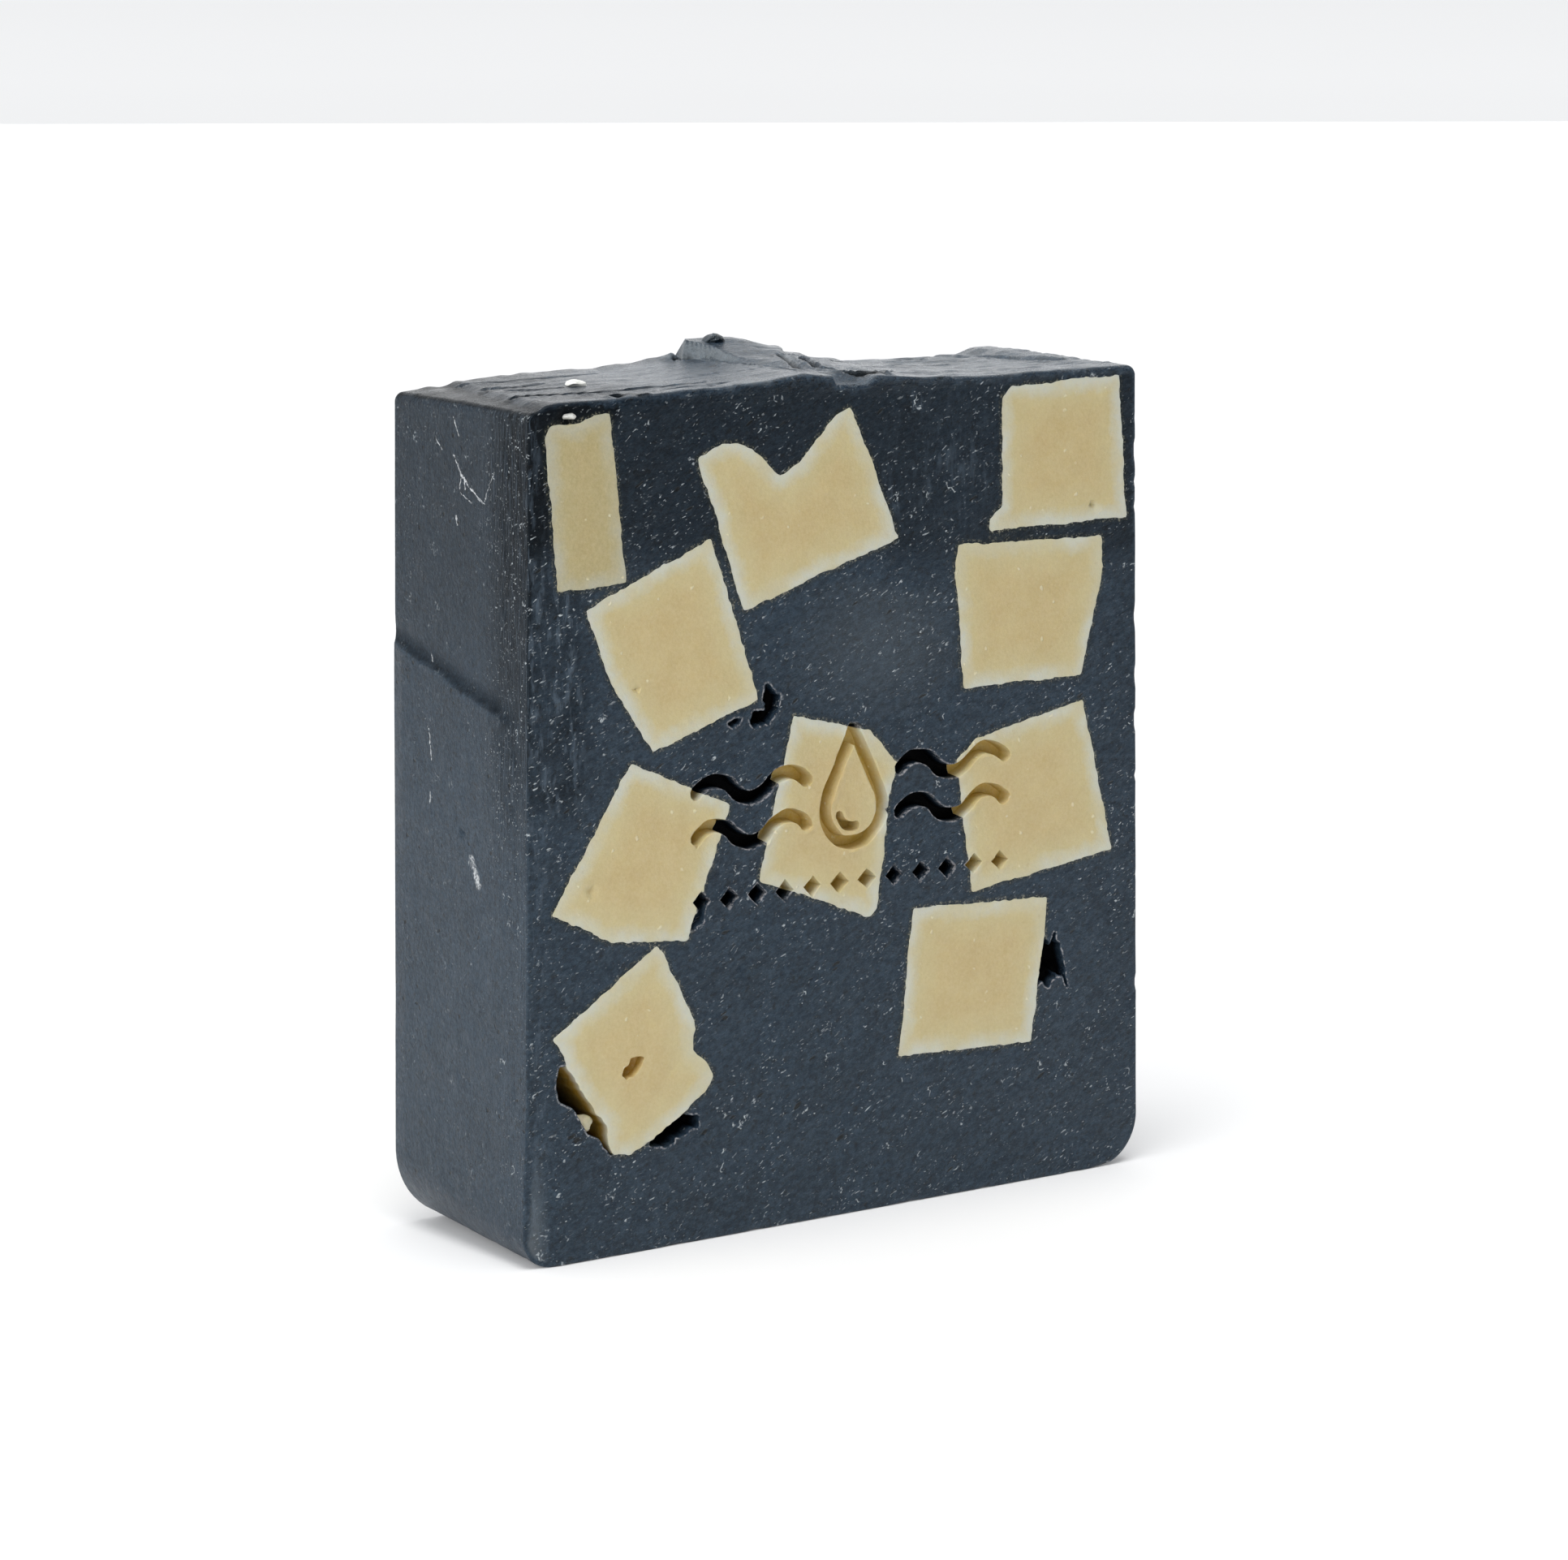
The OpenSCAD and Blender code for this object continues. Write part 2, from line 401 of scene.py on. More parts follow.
def ragged(points, spacing, amount, size, seed):
    """A closed loop through some points, resampled and made uneven."""
    loop = resample(clockwise(np.array(points, float)), spacing)
    return roughen(soften(loop, 1), amount, size, seed)


# Outlines in X and Z
LEFT_VOID = ragged(
    [(-28.2, 17.2), (-29.5, 17.1), (-29.8, 15.3), (-29.4, 13.9), (-28.3, 13.4), (-27.6, 12.4),
     (-26.7, 11), (-25.6, 10.2), (-24.4, 8.8), (-23.6, 9), (-24, 12)], 0.2, 0.14, 0.8, 80)
RIGHT_VOID = ragged(
    [(-20.6, 10.2), (-20.5, 9.1), (-19.9, 8.8), (-19, 8.7), (-18.2, 9), (-17.6, 9.5),
     (-16.7, 9.4), (-16, 10), (-15.5, 10.1), (-15.6, 10.9), (-16.6, 11.2), (-18.2, 12.4)],
    0.14, 0.2, 0.6, 81)
SIDE_VOID = ragged(
    [(20.7, 17.2), (21.9, 17.9), (22.6, 17.2), (23.4, 18.6), (24.2, 18), (24.8, 17),
     (24.3, 19.6), (23.3, 22.2), (22.6, 21), (22.1, 22), (20.9, 21)],
    0.15, 0.2, 0.7, 82)
CRACK = ragged(
    [(-10.2, 44.6), (-9.4, 45), (-8.5, 45.1), (-8.4, 46), (-8.2, 47.3), (-7.5, 47),
     (-6.7, 46.5), (-6.8, 45.5), (-7.3, 44.7), (-7.9, 44), (-9, 43.9), (-9.8, 44.1)],
    0.12, 0.24, 0.5, 83)
CRACK_START = ragged(
    [(-12.3, 44.4), (-11.4, 44.7), (-10.7, 44.7), (-11, 44.2), (-11.9, 44)], 0.12, 0.1, 0.4, 86)
MID_CRACK = ragged(
    [(-17, 28.6), (-15.7, 28.4), (-14.6, 29), (-14.9, 27.8), (-15.9, 27), (-17, 26.6)],
    0.15, 0.2, 0.6, 84)
STICK_PIT = ragged(
    [(-23.2, 15.5), (-23, 16.2), (-22.5, 16.4), (-22.4, 16.9), (-21.6, 17), (-20.9, 16.8),
     (-21.2, 16.2), (-21.6, 15.5), (-22.2, 15.2), (-22.8, 15.1)], 0.12, 0.06, 0.4, 85)
# Each is an outline, the depth of its steep wall and the depth that it slopes on to
CHARCOAL_VOIDS = [
    (LEFT_VOID, 2.2, 8.0),
    (RIGHT_VOID, 1.8, 3.6),
    (SIDE_VOID, 1.2, 2.4),
    (CRACK, 1.1, 1.8),
    (CRACK_START, 0.7, 1.0),
    (MID_CRACK, 0.5, 0.9),
]
CREAM_VOIDS = [(STICK_PIT, 0.8, 1.6)]
VOID_WALL = 0.12
# Parts of the front face that are meshed more finely, as opposite corners in X and Z
FINE_SPOTS = [((-18, 27), (19.5, 45.5)), ((-30.5, 8), (-15, 19.5)), ((20, 16), (25.5, 23)),
              ((-13.5, 43), (-6, 48.5))]
# Small round pits in the cream faces: X, Z, radius, depth
CREAM_PITS = [
    (-21.4, 48.2, 0.2, 0.4), (-26.2, 31.6, 0.35, 0.5), (-20.3, 22.9, 0.18, 0.4),
    (27.4, 59.9, 0.45, 0.5), (-27.2, 55.6, 0.3, 0.2), (-18.2, 15.4, 0.5, 0.12),
]
# The same in the black soap
CHARCOAL_PITS = [(-28.1, 71.2, 1.1, 0.5), (-10.9, 23.2, 0.25, 0.3), (-23.6, 34.4, 0.2, 0.2)]
# Small bumps on the cream faces: X, Z, radius, height
CREAM_BUMPS = [
    (28.4, 69.6, 0.5, 0.18), (-1.9, 63.3, 0.6, 0.15), (-12.2, 61.9, 0.25, 0.12),
    (-7.1, 61.5, 0.25, 0.1), (-9.7, 55.6, 0.4, 0.12), (17.9, 44.9, 0.3, 0.12),
    (-24.1, 37.9, 0.35, 0.1), (24.6, 63.8, 0.3, 0.12), (22.1, 30.8, 0.4, 0.1),
    (-19.9, 52.7, 0.25, 0.1), (-15.3, 51.2, 0.25, 0.1), (-16.3, 44.9, 0.4, 0.1),
]


def void_depth(p, voids):
    """Depth below the face that the voids give, and the distance to the nearest void's edge."""
    depth = np.zeros(len(p))
    edge = np.full(len(p), 4.0)
    for outline, wall, floor in voids:
        d = signed_distance(p, outline)
        drop = wall * step(-d, 0, VOID_WALL) + (floor - wall) * step(-d, VOID_WALL, 0.9)
        drop *= 1 + 0.12 * noise(p, 0.8, 90) * step(-d, VOID_WALL, 0.4)
        depth = np.maximum(depth, drop)
        edge = np.minimum(edge, np.abs(d))
    return depth, edge


def round_dents(p, dents):
    """Depth or height that small round marks give."""
    return sum(h * bell(np.linalg.norm(p - [x, z], axis=1), r * 0.8) for x, z, r, h in dents)


WORN_DEPTH = 0.5


def worn(p):
    """Depth of the worn corner at the bottom of the front's left edge."""
    near_corner = step(p[:, 0], -29.4, -32.6) * step(p[:, 1], 16, 3)
    return WORN_DEPTH * near_corner * (1 + 0.15 * noise(p, 2, 91))


def face_relief(p, cream, fade):
    """For points of a cut face: their depth below the plane of the cut, how sunken each one is,
    and its distance from the brink of the nearest opening."""
    s = stamp_distance(p)
    groove = STAMP_DEPTH * (1 + 0.08 * noise(p, 1.2, 73))
    depth = groove * step(s, WALL_HALF, -WALL_HALF)
    lip = 0.09 * bell(s - 0.26, 0.16) * np.clip(0.6 + 0.9 * noise(p, 1.1, 74), 0, 1.4)
    holes, edge = void_depth(p, CREAM_VOIDS if cream else CHARCOAL_VOIDS)
    depth = np.maximum(depth, holes)
    if cream:
        depth = depth + round_dents(p, CREAM_PITS)
        waviness = 0.02 * layered(p, 5, 77, 3) + 0.015 * layered(p, 0.8, 78, 2) - 0.04
        waviness -= round_dents(p, CREAM_BUMPS)
    else:
        depth = depth + round_dents(p, CHARCOAL_PITS)
        waviness = 0.035 * layered(p, 7, 75, 3) + 0.012 * layered(p, (0.9, 0.45, 1), 76, 2)
        burr = np.clip(0.4 + noise(p, 0.6, 79), 0, 1.3)
        lip = lip + 0.12 * bell(edge - 0.2, 0.2) * burr * (holes < 0.02)
    flat = np.clip(1 - depth / 0.3, 0, 1)
    depth = depth + fade * flat * (waviness - lip)
    return depth, np.clip(depth / 1.2, 0, 1), np.minimum(s, np.where(holes > 0.02, -edge, edge))


# ---------------------------------------------------------------- mesh building


# Values that each point carries for its material: distance in mm from a stick's outline and from
# the brink of the nearest opening, distance from a crease's painted shadow, depth in an opening,
# pale or dark marks (many of them painted light and shade), and how strongly it is streaked, flecked
# or painted in shade
TAG_DEFAULTS = {"inner": 4.0, "brink": 4.0, "seam": 4.0, "sunken": 0.0, "shade": 0.0, "scuff": 0.0}


class Builder:
    """Collects points, faces and the values that points carry for their material."""

    def __init__(self):
        self.points, self.faces = [], []
        self.tags = {key: [] for key in TAG_DEFAULTS}
        self.count = 0

    def add(self, points, **tags):
        """Adds points and gives their numbers."""
        n = len(points)
        self.points.append(np.asarray(points, float))
        for key, values in self.tags.items():
            value = np.asarray(tags.get(key, TAG_DEFAULTS[key]), float)
            values.append(np.broadcast_to(value, n))
        ids = np.arange(self.count, self.count + n)
        self.count += n
        return ids

    def grid(self, rows):
        """Quads between rows of point numbers, each row a closed ring."""
        for low, high in zip(rows, rows[1:]):
            for a, b, c, d in zip(low, np.roll(low, -1), np.roll(high, -1), high):
                self.faces.append((a, b, c, d))

    def zip_rings(self, ring_a, share_a, ring_b, share_b):
        """Triangles between two closed rings, each with its points' shares of the way round."""
        i = j = 0
        na, nb = len(ring_a), len(ring_b)
        next_a = np.append(share_a[1:], 1.0)
        next_b = np.append(share_b[1:], 1.0)
        while i < na or j < nb:
            if j >= nb or (i < na and next_a[i] <= next_b[j]):
                self.faces.append((ring_a[i], ring_a[(i + 1) % na], ring_b[j % nb]))
                i += 1
            else:
                self.faces.append((ring_a[i % na], ring_b[(j + 1) % nb], ring_b[j]))
                j += 1


def add_object(name, builder, material, replaced, sharp=35):
    """Makes the mesh, turns its faces outward, hangs it on the root body and hides the CAD part it
    replaces.
    """
    points = np.vstack(builder.points) * MM
    used = np.unique(np.concatenate([np.asarray(f) for f in builder.faces]))
    renumber = np.full(len(points), -1)
    renumber[used] = np.arange(len(used))
    faces = [tuple(int(renumber[i]) for i in f) for f in builder.faces]
    mesh = bpy.data.meshes.new(name)
    mesh.from_pydata(points[used].tolist(), [], faces)
    for key, values in builder.tags.items():
        layer = mesh.attributes.new(key, "FLOAT", "POINT")
        layer.data.foreach_set("value", np.concatenate(values)[used].astype(np.float32))
    face_outward(mesh)
    mesh.materials.append(material)
    mesh.polygons.foreach_set("use_smooth", [True] * len(mesh.polygons))
    mesh.set_sharp_from_angle(angle=math.radians(sharp))
    obj = bpy.data.objects.new(name, mesh)
    bpy.context.scene.collection.objects.link(obj)
    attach(obj, "root")
    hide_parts(replaced)
    return obj


def face_outward(mesh):
    """Turns a closed mesh's faces the same way round, outward."""
    bm = bmesh.new()
    bm.from_mesh(mesh)
    bmesh.ops.recalc_face_normals(bm, faces=bm.faces)
    if bm.calc_volume(signed=True) < 0:
        bmesh.ops.reverse_faces(bm, faces=bm.faces)
    bm.to_mesh(mesh)
    bm.free()


def seed_points(outline, spacing, fine_spots, fine_spacing, keep_off, seed):
    """Points spread over a face: a loose grid, finer in some boxes, clear of the drawn lines."""
    low, high = outline.min(axis=0), outline.max(axis=0)

    def grid_in(a, b, gap):
        xs = np.arange(a[0], b[0], gap)
        zs = np.arange(a[1], b[1], gap * 0.866)
        gx, gz = np.meshgrid(xs, zs)
        gx = gx + (np.arange(len(zs)) % 2)[:, None] * gap / 2
        p = np.column_stack([gx.ravel(), gz.ravel()])
        return p + 0.22 * gap * np.column_stack([noise(p, 0.31, seed), noise(p, 0.31, seed + 1)])

    coarse = grid_in(low, high, spacing)
    sets = []
    for a, b in fine_spots:
        a, b = np.array(a), np.array(b)
        coarse = coarse[~np.all((coarse > a) & (coarse < b), axis=1)]
        sets.append(grid_in(a, b, fine_spacing))
    points = np.vstack([coarse] + sets)
    points = points[inside(points, outline)]
    tree = KDTree(len(keep_off))
    for i, q in enumerate(keep_off):
        tree.insert((q[0], q[1], 0), i)
    tree.balance()
    gaps = np.array([tree.find((x, z, 0))[2] for x, z in points])
    return points[gaps > 0.55 * min(fine_spacing, spacing)]


class Face:
    """A cut face of the bar, split into the black soap and the ends of the cream sticks."""

    def __init__(self, outline, loops, extra, spacing, fine_spots, fine_spacing, seed):
        rings = [outline] + loops + extra
        corners, edges, start = [], [], 0
        for ring in rings:
            corners.append(ring)
            n = len(ring)
            edges += [(start + i, start + (i + 1) % n) for i in range(n)]
            start += n
        lines = np.vstack(corners)
        seeds = seed_points(outline, spacing, fine_spots, fine_spacing, lines, seed)
        given = np.vstack([lines, seeds])
        found = delaunay_2d_cdt([Vector(p) for p in given], edges, [], 0, 1e-5)
        self.p = np.array([(v[0], v[1]) for v in found[0]])
        triangles = np.array([f for f in found[2] if len(f) == 3])
        middles = self.p[triangles].mean(axis=1)
        kept = inside(middles, outline)
        self.triangles, middles = triangles[kept], middles[kept]
        self.region = np.full(len(middles), -1)
        for k, loop in enumerate(loops):
            self.region[inside(middles, loop)] = k
        self.outline_ids = np.full(len(outline), -1)
        for new, olds in enumerate(found[3]):
            for old in olds:
                if old < len(outline):
                    self.outline_ids[old] = new

    def ring(self, region, loop):
        """Numbers of the points round a region, from the loop's first point and its way round."""
        triangles = self.triangles[self.region == region]
        edges = {(a, b) for t in triangles.tolist() for a, b in zip(t, t[1:] + t[:1])}
        after = {a: b for a, b in edges if (b, a) not in edges}
        ring = [min(after)]
        while after[ring[-1]] != ring[0]:
            ring.append(after[ring[-1]])
        ring = np.array(ring)
        if turning(self.p[ring]) * turning(loop) < 0:
            ring = ring[::-1]
        first = np.argmin(np.linalg.norm(self.p[ring] - loop[0], axis=1))
        return np.roll(ring, -first)


# ---------------------------------------------------------------- the top surface

# Heights along the front and the back edge, as X and Z
FRONT_EDGE = np.array([
    (-33, 71.7), (-31, 72), (-29, 72.3), (-24, 72.25), (-19.5, 72.45), (-15, 72.75), (-7, 73.05),
    (-3.8, 73.35), (-1.8, 73.15), (4.4, 72.75), (9, 72.3), (14, 72.05), (19, 71.95), (24, 72.1),
    (33, 72.05)])
BACK_EDGE = np.array([
    (-33, 71.85), (-24, 72.4), (-19, 72.6), (-12, 72.65), (-8, 72.95), (-5, 73.2), (0, 73.2),
    (6, 73), (11, 72.2), (15, 71.8), (24, 71.6), (27.6, 71.45), (29.2, 71.9), (33, 71.95)])
# The mound, by Y: X of its left foot, X of its right edge, and its rise at the left
MOUND_LEFT = np.array([
    (-5.2, 0.6), (-4.1, -0.6), (-1.1, -1.6), (0.1, -2.2), (2.6, -3.2), (5.4, -3.2), (7.5, -4.2),
    (8.8, -3.6), (10.3, -2.6)])
MOUND_RIGHT = np.array([(-5.2, 1.5), (0.7, 3.3), (4, 4), (5, 4.8), (8, 6.9), (10.3, 8.6)])
MOUND_RISE = np.array([
    (-5.2, 0.1), (-2.8, 0.3), (0.7, 0.5), (3, 0.8), (5, 1.25), (7, 1.95), (8.4, 2.15), (10.3, 1.4)])
# The fold across the left end: its X at the front edge, and how much that grows with each mm of Y
FOLD_X, FOLD_SLANT = -30.9, 0.21
# A nub beside the mound: its place, and both its height and its radius
NUB_X, NUB_Y, NUB_SIZE = -4.8, 8.4, 0.6
# Layers dragged to the right off the mound: how far each one's edge is from it, and its thickness
LAYERS = [(2.2, 0.22), (5.5, 0.16)]
# Cracks and creases of the top: path in X and Y, half-width, depth
TOP_CRACKS = [
    ([(3.2, 0.4), (1.4, -4.4), (1.9, -7.2), (3.2, -8.3), (5.2, -8.4)], 0.26, 0.65),
    ([(8.6, -5.4), (6.4, -7.6), (5.2, -8.4)], 0.2, 0.4),
    ([(-5, 7.4), (-4, 6.6), (-3.7, 5.2), (-3.8, 2.4)], 0.18, 0.45),
    ([(-2.8, 0.1), (-2.1, -1.1), (-1.9, -4.1), (-2.2, -6.4)], 0.22, 0.4),
    ([(2.5, 2.5), (0.6, -2), (-0.8, -5.4)], 0.22, 0.35),
    ([(5.3, 4.6), (5.2, 3), (4.2, 0.2)], 0.22, 0.25),
    ([(-22.6, -8.7), (-20, -9.5)], 0.2, 0.5),
    ([(-29, -3.4), (-25.5, -4.7), (-22, -5.6), (-18, -6), (-12, -6.6)], 0.22, 0.28),
    ([(-17.5, -8.2), (-13, -8.6), (-9.6, -8.2)], 0.18, 0.2),
    ([(-27, 8), (-24, 5.8), (-19, 5.4), (-14, 6.4)], 0.24, 0.16),
    ([(-27.4, 3.2), (-24.6, 2), (-22.4, 2.4)], 0.24, 0.2),
    ([(-26.8, 0.6), (-24.8, -0.6), (-22.6, -0.9)], 0.24, 0.2),
    ([(-12, -3), (-8, -2.2), (-4.6, -3.4)], 0.2, 0.12),
    ([(26.8, 4.8), (27.6, 0.4), (29.3, -3.2)], 0.3, 0.25),
    ([(8, -1.4), (13, 0.4), (20, 1.2)], 0.2, 0.14),
    ([(14, 2), (20, 3.4), (26, 3)], 0.24, 0.14),
    ([(9, 6.8), (15, 6), (21.5, 7)], 0.22, 0.18),
    ([(12, -6.4), (18, -7.4), (24, -6.8)], 0.2, 0.12),
]


def along_path(path, at):
    """The second number of a path's points, where the first is at."""
    return np.interp(at, path[:, 0], path[:, 1])


def fold_line(y):
    """X of the fold across the left end of the top."""
    return FOLD_X + FOLD_SLANT * (y - FRONT)


def mound_height(p):
    """The mound: steep at the left, falling to the right, where it ends in a layer's edge. Gives
    its rise and the X of that edge."""
    x, y = p.T
    left = along_path(MOUND_LEFT, y) + 0.25 * noise(p, 1.6, 100)
    right = along_path(MOUND_RIGHT, y) + 0.25 * noise(p, 1.8, 101)
    flank = 0.45 + 0.2 * np.clip(8 - y, 0, 9)
    rise = along_path(MOUND_RISE, y) * step(x - left, 0, flank)
    rise *= np.clip(0.8 - 0.093 * (x - 1.5), 0.15, 0.8)
    rise += 0.15 * bell(x - right + 0.6, 0.7) * step(y, -5, -3)
    return rise * step(right - x, -0.12, 0.12), right


def top_height(x, y):
    """Height of the hand-worked top at points of the bar."""
    p = np.column_stack([x, y])
    t = (y - FRONT) / DEPTH
    z = (1 - t) * along_path(FRONT_EDGE, x) + t * along_path(BACK_EDGE, x)
    past_fold = x - fold_line(y) - 0.15 * noise(p, 3, 99)
    z += 0.2 * step(past_fold, -0.1, 0.9) * step(x, -12, -24)
    z -= 0.12 * bell(past_fold + 0.6, 0.9)
    rise, right = mound_height(p)
    z += rise
    z += NUB_SIZE * bell(np.hypot(x - NUB_X, y - NUB_Y), NUB_SIZE)
    for offset, thickness in LAYERS:
        edge = x - right - offset - 0.6 * noise(p, 3, 102)
        z += thickness * step(edge, 0.2, -0.2) * step(x - right, -0.1, 0.2) * step(y, -6, -2)
    for path, width, depth in TOP_CRACKS:
        d = path_distance(p, np.array(path, float)) + 0.08 * noise(p, 0.7, 103)
        z += -depth * bell(d, width) + 0.3 * depth * bell(d - 2.5 * width, width)
    # The dent in the front edge, the step of the back right corner and the raised rims
    z -= 0.75 * between(x, -1, -0.65, 2.1, 3.9) * step(y, -7.4, -9.2)
    z += 0.18 * step(x - 27.2 - 0.35 * (4 - y), -0.2, 0.4) * step(y, -4, 0)
    z += 0.22 * bell(y - FRONT - 0.7, 0.4) * (0.5 + 0.8 * noise(p, 1.8, 104)) * step(x, 0, -4)
    z += 0.14 * bell(y - BACK + 0.5, 0.45) * (0.3 + noise(p, 1.2, 105)) * step(x, -1, -3)
    # Wrinkles, drawn out along the bar
    wild = 0.3 + 0.25 * step(x, -29, -24) + 0.45 * step(x, -4, 4)
    z += wild * 0.08 * layered(p, (5, 2.2, 1), 106, 3)
    z += wild * 0.06 * layered(p, (2.6, 0.6, 1), 107, 2)
    return z


# ---------------------------------------------------------------- the outer band of the black soap

# Radii of the bottom left corner at the front and the back, the bottom right and the top corners
LEFT_R_FRONT, LEFT_R_BACK, RIGHT_R, TOP_R = 2.6, 6.6, 4.5, 0.8
SIDE_POINTS, TOP_POINTS, BOTTOM_POINTS, RIGHT_POINTS = 190, 290, 60, 120
EDGE_ARC = 5
BAND_ROWS = 52
# Deepest that the rounded cut edge reaches, and the depth that its shape is taken from
EDGE_REACH, EDGE_SHARE = 1.2, 0.25
# The crease across the left side: its height at a depth Y, and how much it rises with each mm of Y
CREASE_Z, CREASE_Y, CREASE_SLANT = 47.9, -0.8, 0.29


def section(y):
    """The bar's outline at a depth y, clockwise from the left end of the bottom: points and
    outward normals in X and Z."""
    t = (y - FRONT) / DEPTH
    left_r = LEFT_R_FRONT + (LEFT_R_BACK - LEFT_R_FRONT) * t
    tilt = math.degrees(math.atan(LEAN_IN))
    left_x = -half_width(left_r) + left_r
    right_x = half_width(RIGHT_R) - RIGHT_R
    low_left = arc((left_x, left_r), left_r, 270, 180 + tilt, 14)
    low_right = arc((right_x, RIGHT_R), RIGHT_R, -tilt, -90, 18)
    z_left = top_height(np.array([-half_width(CORNER_Z) + TOP_R]), np.array([y]))[0]
    z_right = top_height(np.array([half_width(CORNER_Z) - TOP_R]), np.array([y]))[0]
    x_left = -half_width(z_left) + TOP_R
    x_right = half_width(z_right) - TOP_R
    high_left = arc((x_left, z_left - TOP_R), TOP_R, 180, 90, 8)
    high_right = arc((x_right, z_right - TOP_R), TOP_R, 90, 0, 8)
    left = np.linspace(low_left[-1], high_left[0], SIDE_POINTS)[1:-1]
    right = np.linspace(high_right[-1], low_right[0], RIGHT_POINTS)[1:-1]
    xs = np.linspace(x_left, x_right, TOP_POINTS)[1:-1]
    top = np.column_stack([xs, top_height(xs, np.full(len(xs), y))])
    bottom = np.linspace(low_right[-1], low_left[0], BOTTOM_POINTS)[1:-1]
    points = np.vstack([low_left, left, high_left, top, high_right, right, low_right, bottom])
    normals = loop_normals(points)
    top_rows = slice(len(low_left) + len(left) + 8, len(low_left) + len(left) + 8 + len(top))
    normals[top_rows] = soften_rows(normals[top_rows])
    return points, normals


def soften_rows(normals):
    """Blends the top's normals towards straight up, so that the rounded edge stays even."""
    blended = 0.3 * normals + 0.7 * np.array([0, 1])
    return blended / np.linalg.norm(blended, axis=1)[:, None]


def edge_radius(points):
    """Radius of the rounded cut edge round the bar, largest along the top."""
    r = 0.2 + 0.05 * noise(points, 4, 110)
    r += 0.15 * step(points[:, 1], CORNER_Z - 1, CORNER_Z) * (0.7 + 0.5 * noise(points, 3, 111))
    r += 0.25 * step(noise(points, 1.1, 112), 0.45, 0.8) * step(points[:, 0], -29, -20)
    return np.clip(r, 0.1, 0.6)


def crease_height(p):
    """Height of the crease across the left side."""
    return CREASE_Z + CREASE_SLANT * (p[:, 1] - CREASE_Y) + 0.25 * noise(p[:, 1:], 3, 122)


def side_relief(p):
    """How far points of the mould-cast sides stand out, from their X, Y and Z."""
    x, y, z = p.T
    out = 0.05 * layered(p, 9, 120, 2) + 0.012 * layered(p, (1, 0.5, 1.6), 121, 2)
    left = step(x, -28, -31.5) * between(z, 3, 8, 68, 71)
    under = crease_height(p) - z
    ledge = 0.3 * step(under, -0.1, 0.12) * (0.25 + 0.75 * step(under, 26, -1))
    ledge -= 0.22 * bell(under + 0.75, 0.75)
    out += left * step(y, -9.5, -5.5) * ledge
    out -= left * 0.35 * bell(np.hypot(y + 0.7, z - 35.8), 0.24)
    out -= left * 0.12 * step(noise(p, (1, 0.35, 2.4), 124), 0.5, 0.9) * step(y, -3, -9)
    low = step(z, 3.5, 1) * step(noise(p, 1.3, 125), 0.2, 0.8)
    return out - 0.12 * low


def build_band(builder):
    """The sides, top and bottom of the black soap, with rounded cut edges. Gives the numbers of
    the points round the front and the back, and the outlines there."""
    r_front = edge_radius(section(FRONT)[0])
    r_back = edge_radius(section(BACK)[0])
    sunk = worn(section(FRONT)[0])
    turns = np.linspace(0, math.pi / 2, EDGE_ARC + 1)
    middles = np.linspace(FRONT + EDGE_REACH, BACK - EDGE_REACH, BAND_ROWS)
    rows, rings = [], []
    for turn in turns:
        away = 1 - math.cos(turn)
        y = FRONT + sunk + r_front * away
        rows.append((FRONT + EDGE_SHARE * away, y, r_front * (1 - math.sin(turn))))
    rows += [(y, y, 0.0) for y in middles[1:-1]]
    for turn in turns[::-1]:
        away = 1 - math.cos(turn)
        rows.append((BACK - EDGE_SHARE * away, BACK - r_back * away, r_back * (1 - math.sin(turn))))
    for at, y, inset in rows:
        points, normals = section(at)
        p = np.column_stack([points[:, 0], np.broadcast_to(y, len(points)), points[:, 1]])
        inner = step(np.minimum(p[:, 1] - FRONT, BACK - p[:, 1]), 0.1, 1.2)
        on_side = 1 - step(normals[:, 1], 0.5, 0.9)
        move = side_relief(p) * on_side * (0.35 + 0.65 * inner) - inset
        underneath = normals[:, 1] < -0.9
        move = np.where(underneath, np.minimum(move, 0), move)
        p[:, 0] += normals[:, 0] * move
        p[:, 2] += normals[:, 1] * move
        ids = builder.add(p, shade=band_shade(p, normals), scuff=band_scuff(p, normals),
                          seam=band_crease_shadow(p, normals))
        rings.append((ids, p[:, [0, 2]]))
    builder.grid([ids for ids, _ in rings])
    return rings[0] + rings[-1]


def faces_left(normals):
    """1 where a surface faces left, 0 where it faces another way."""
    return step(normals[:, 0], -0.5, -0.9)


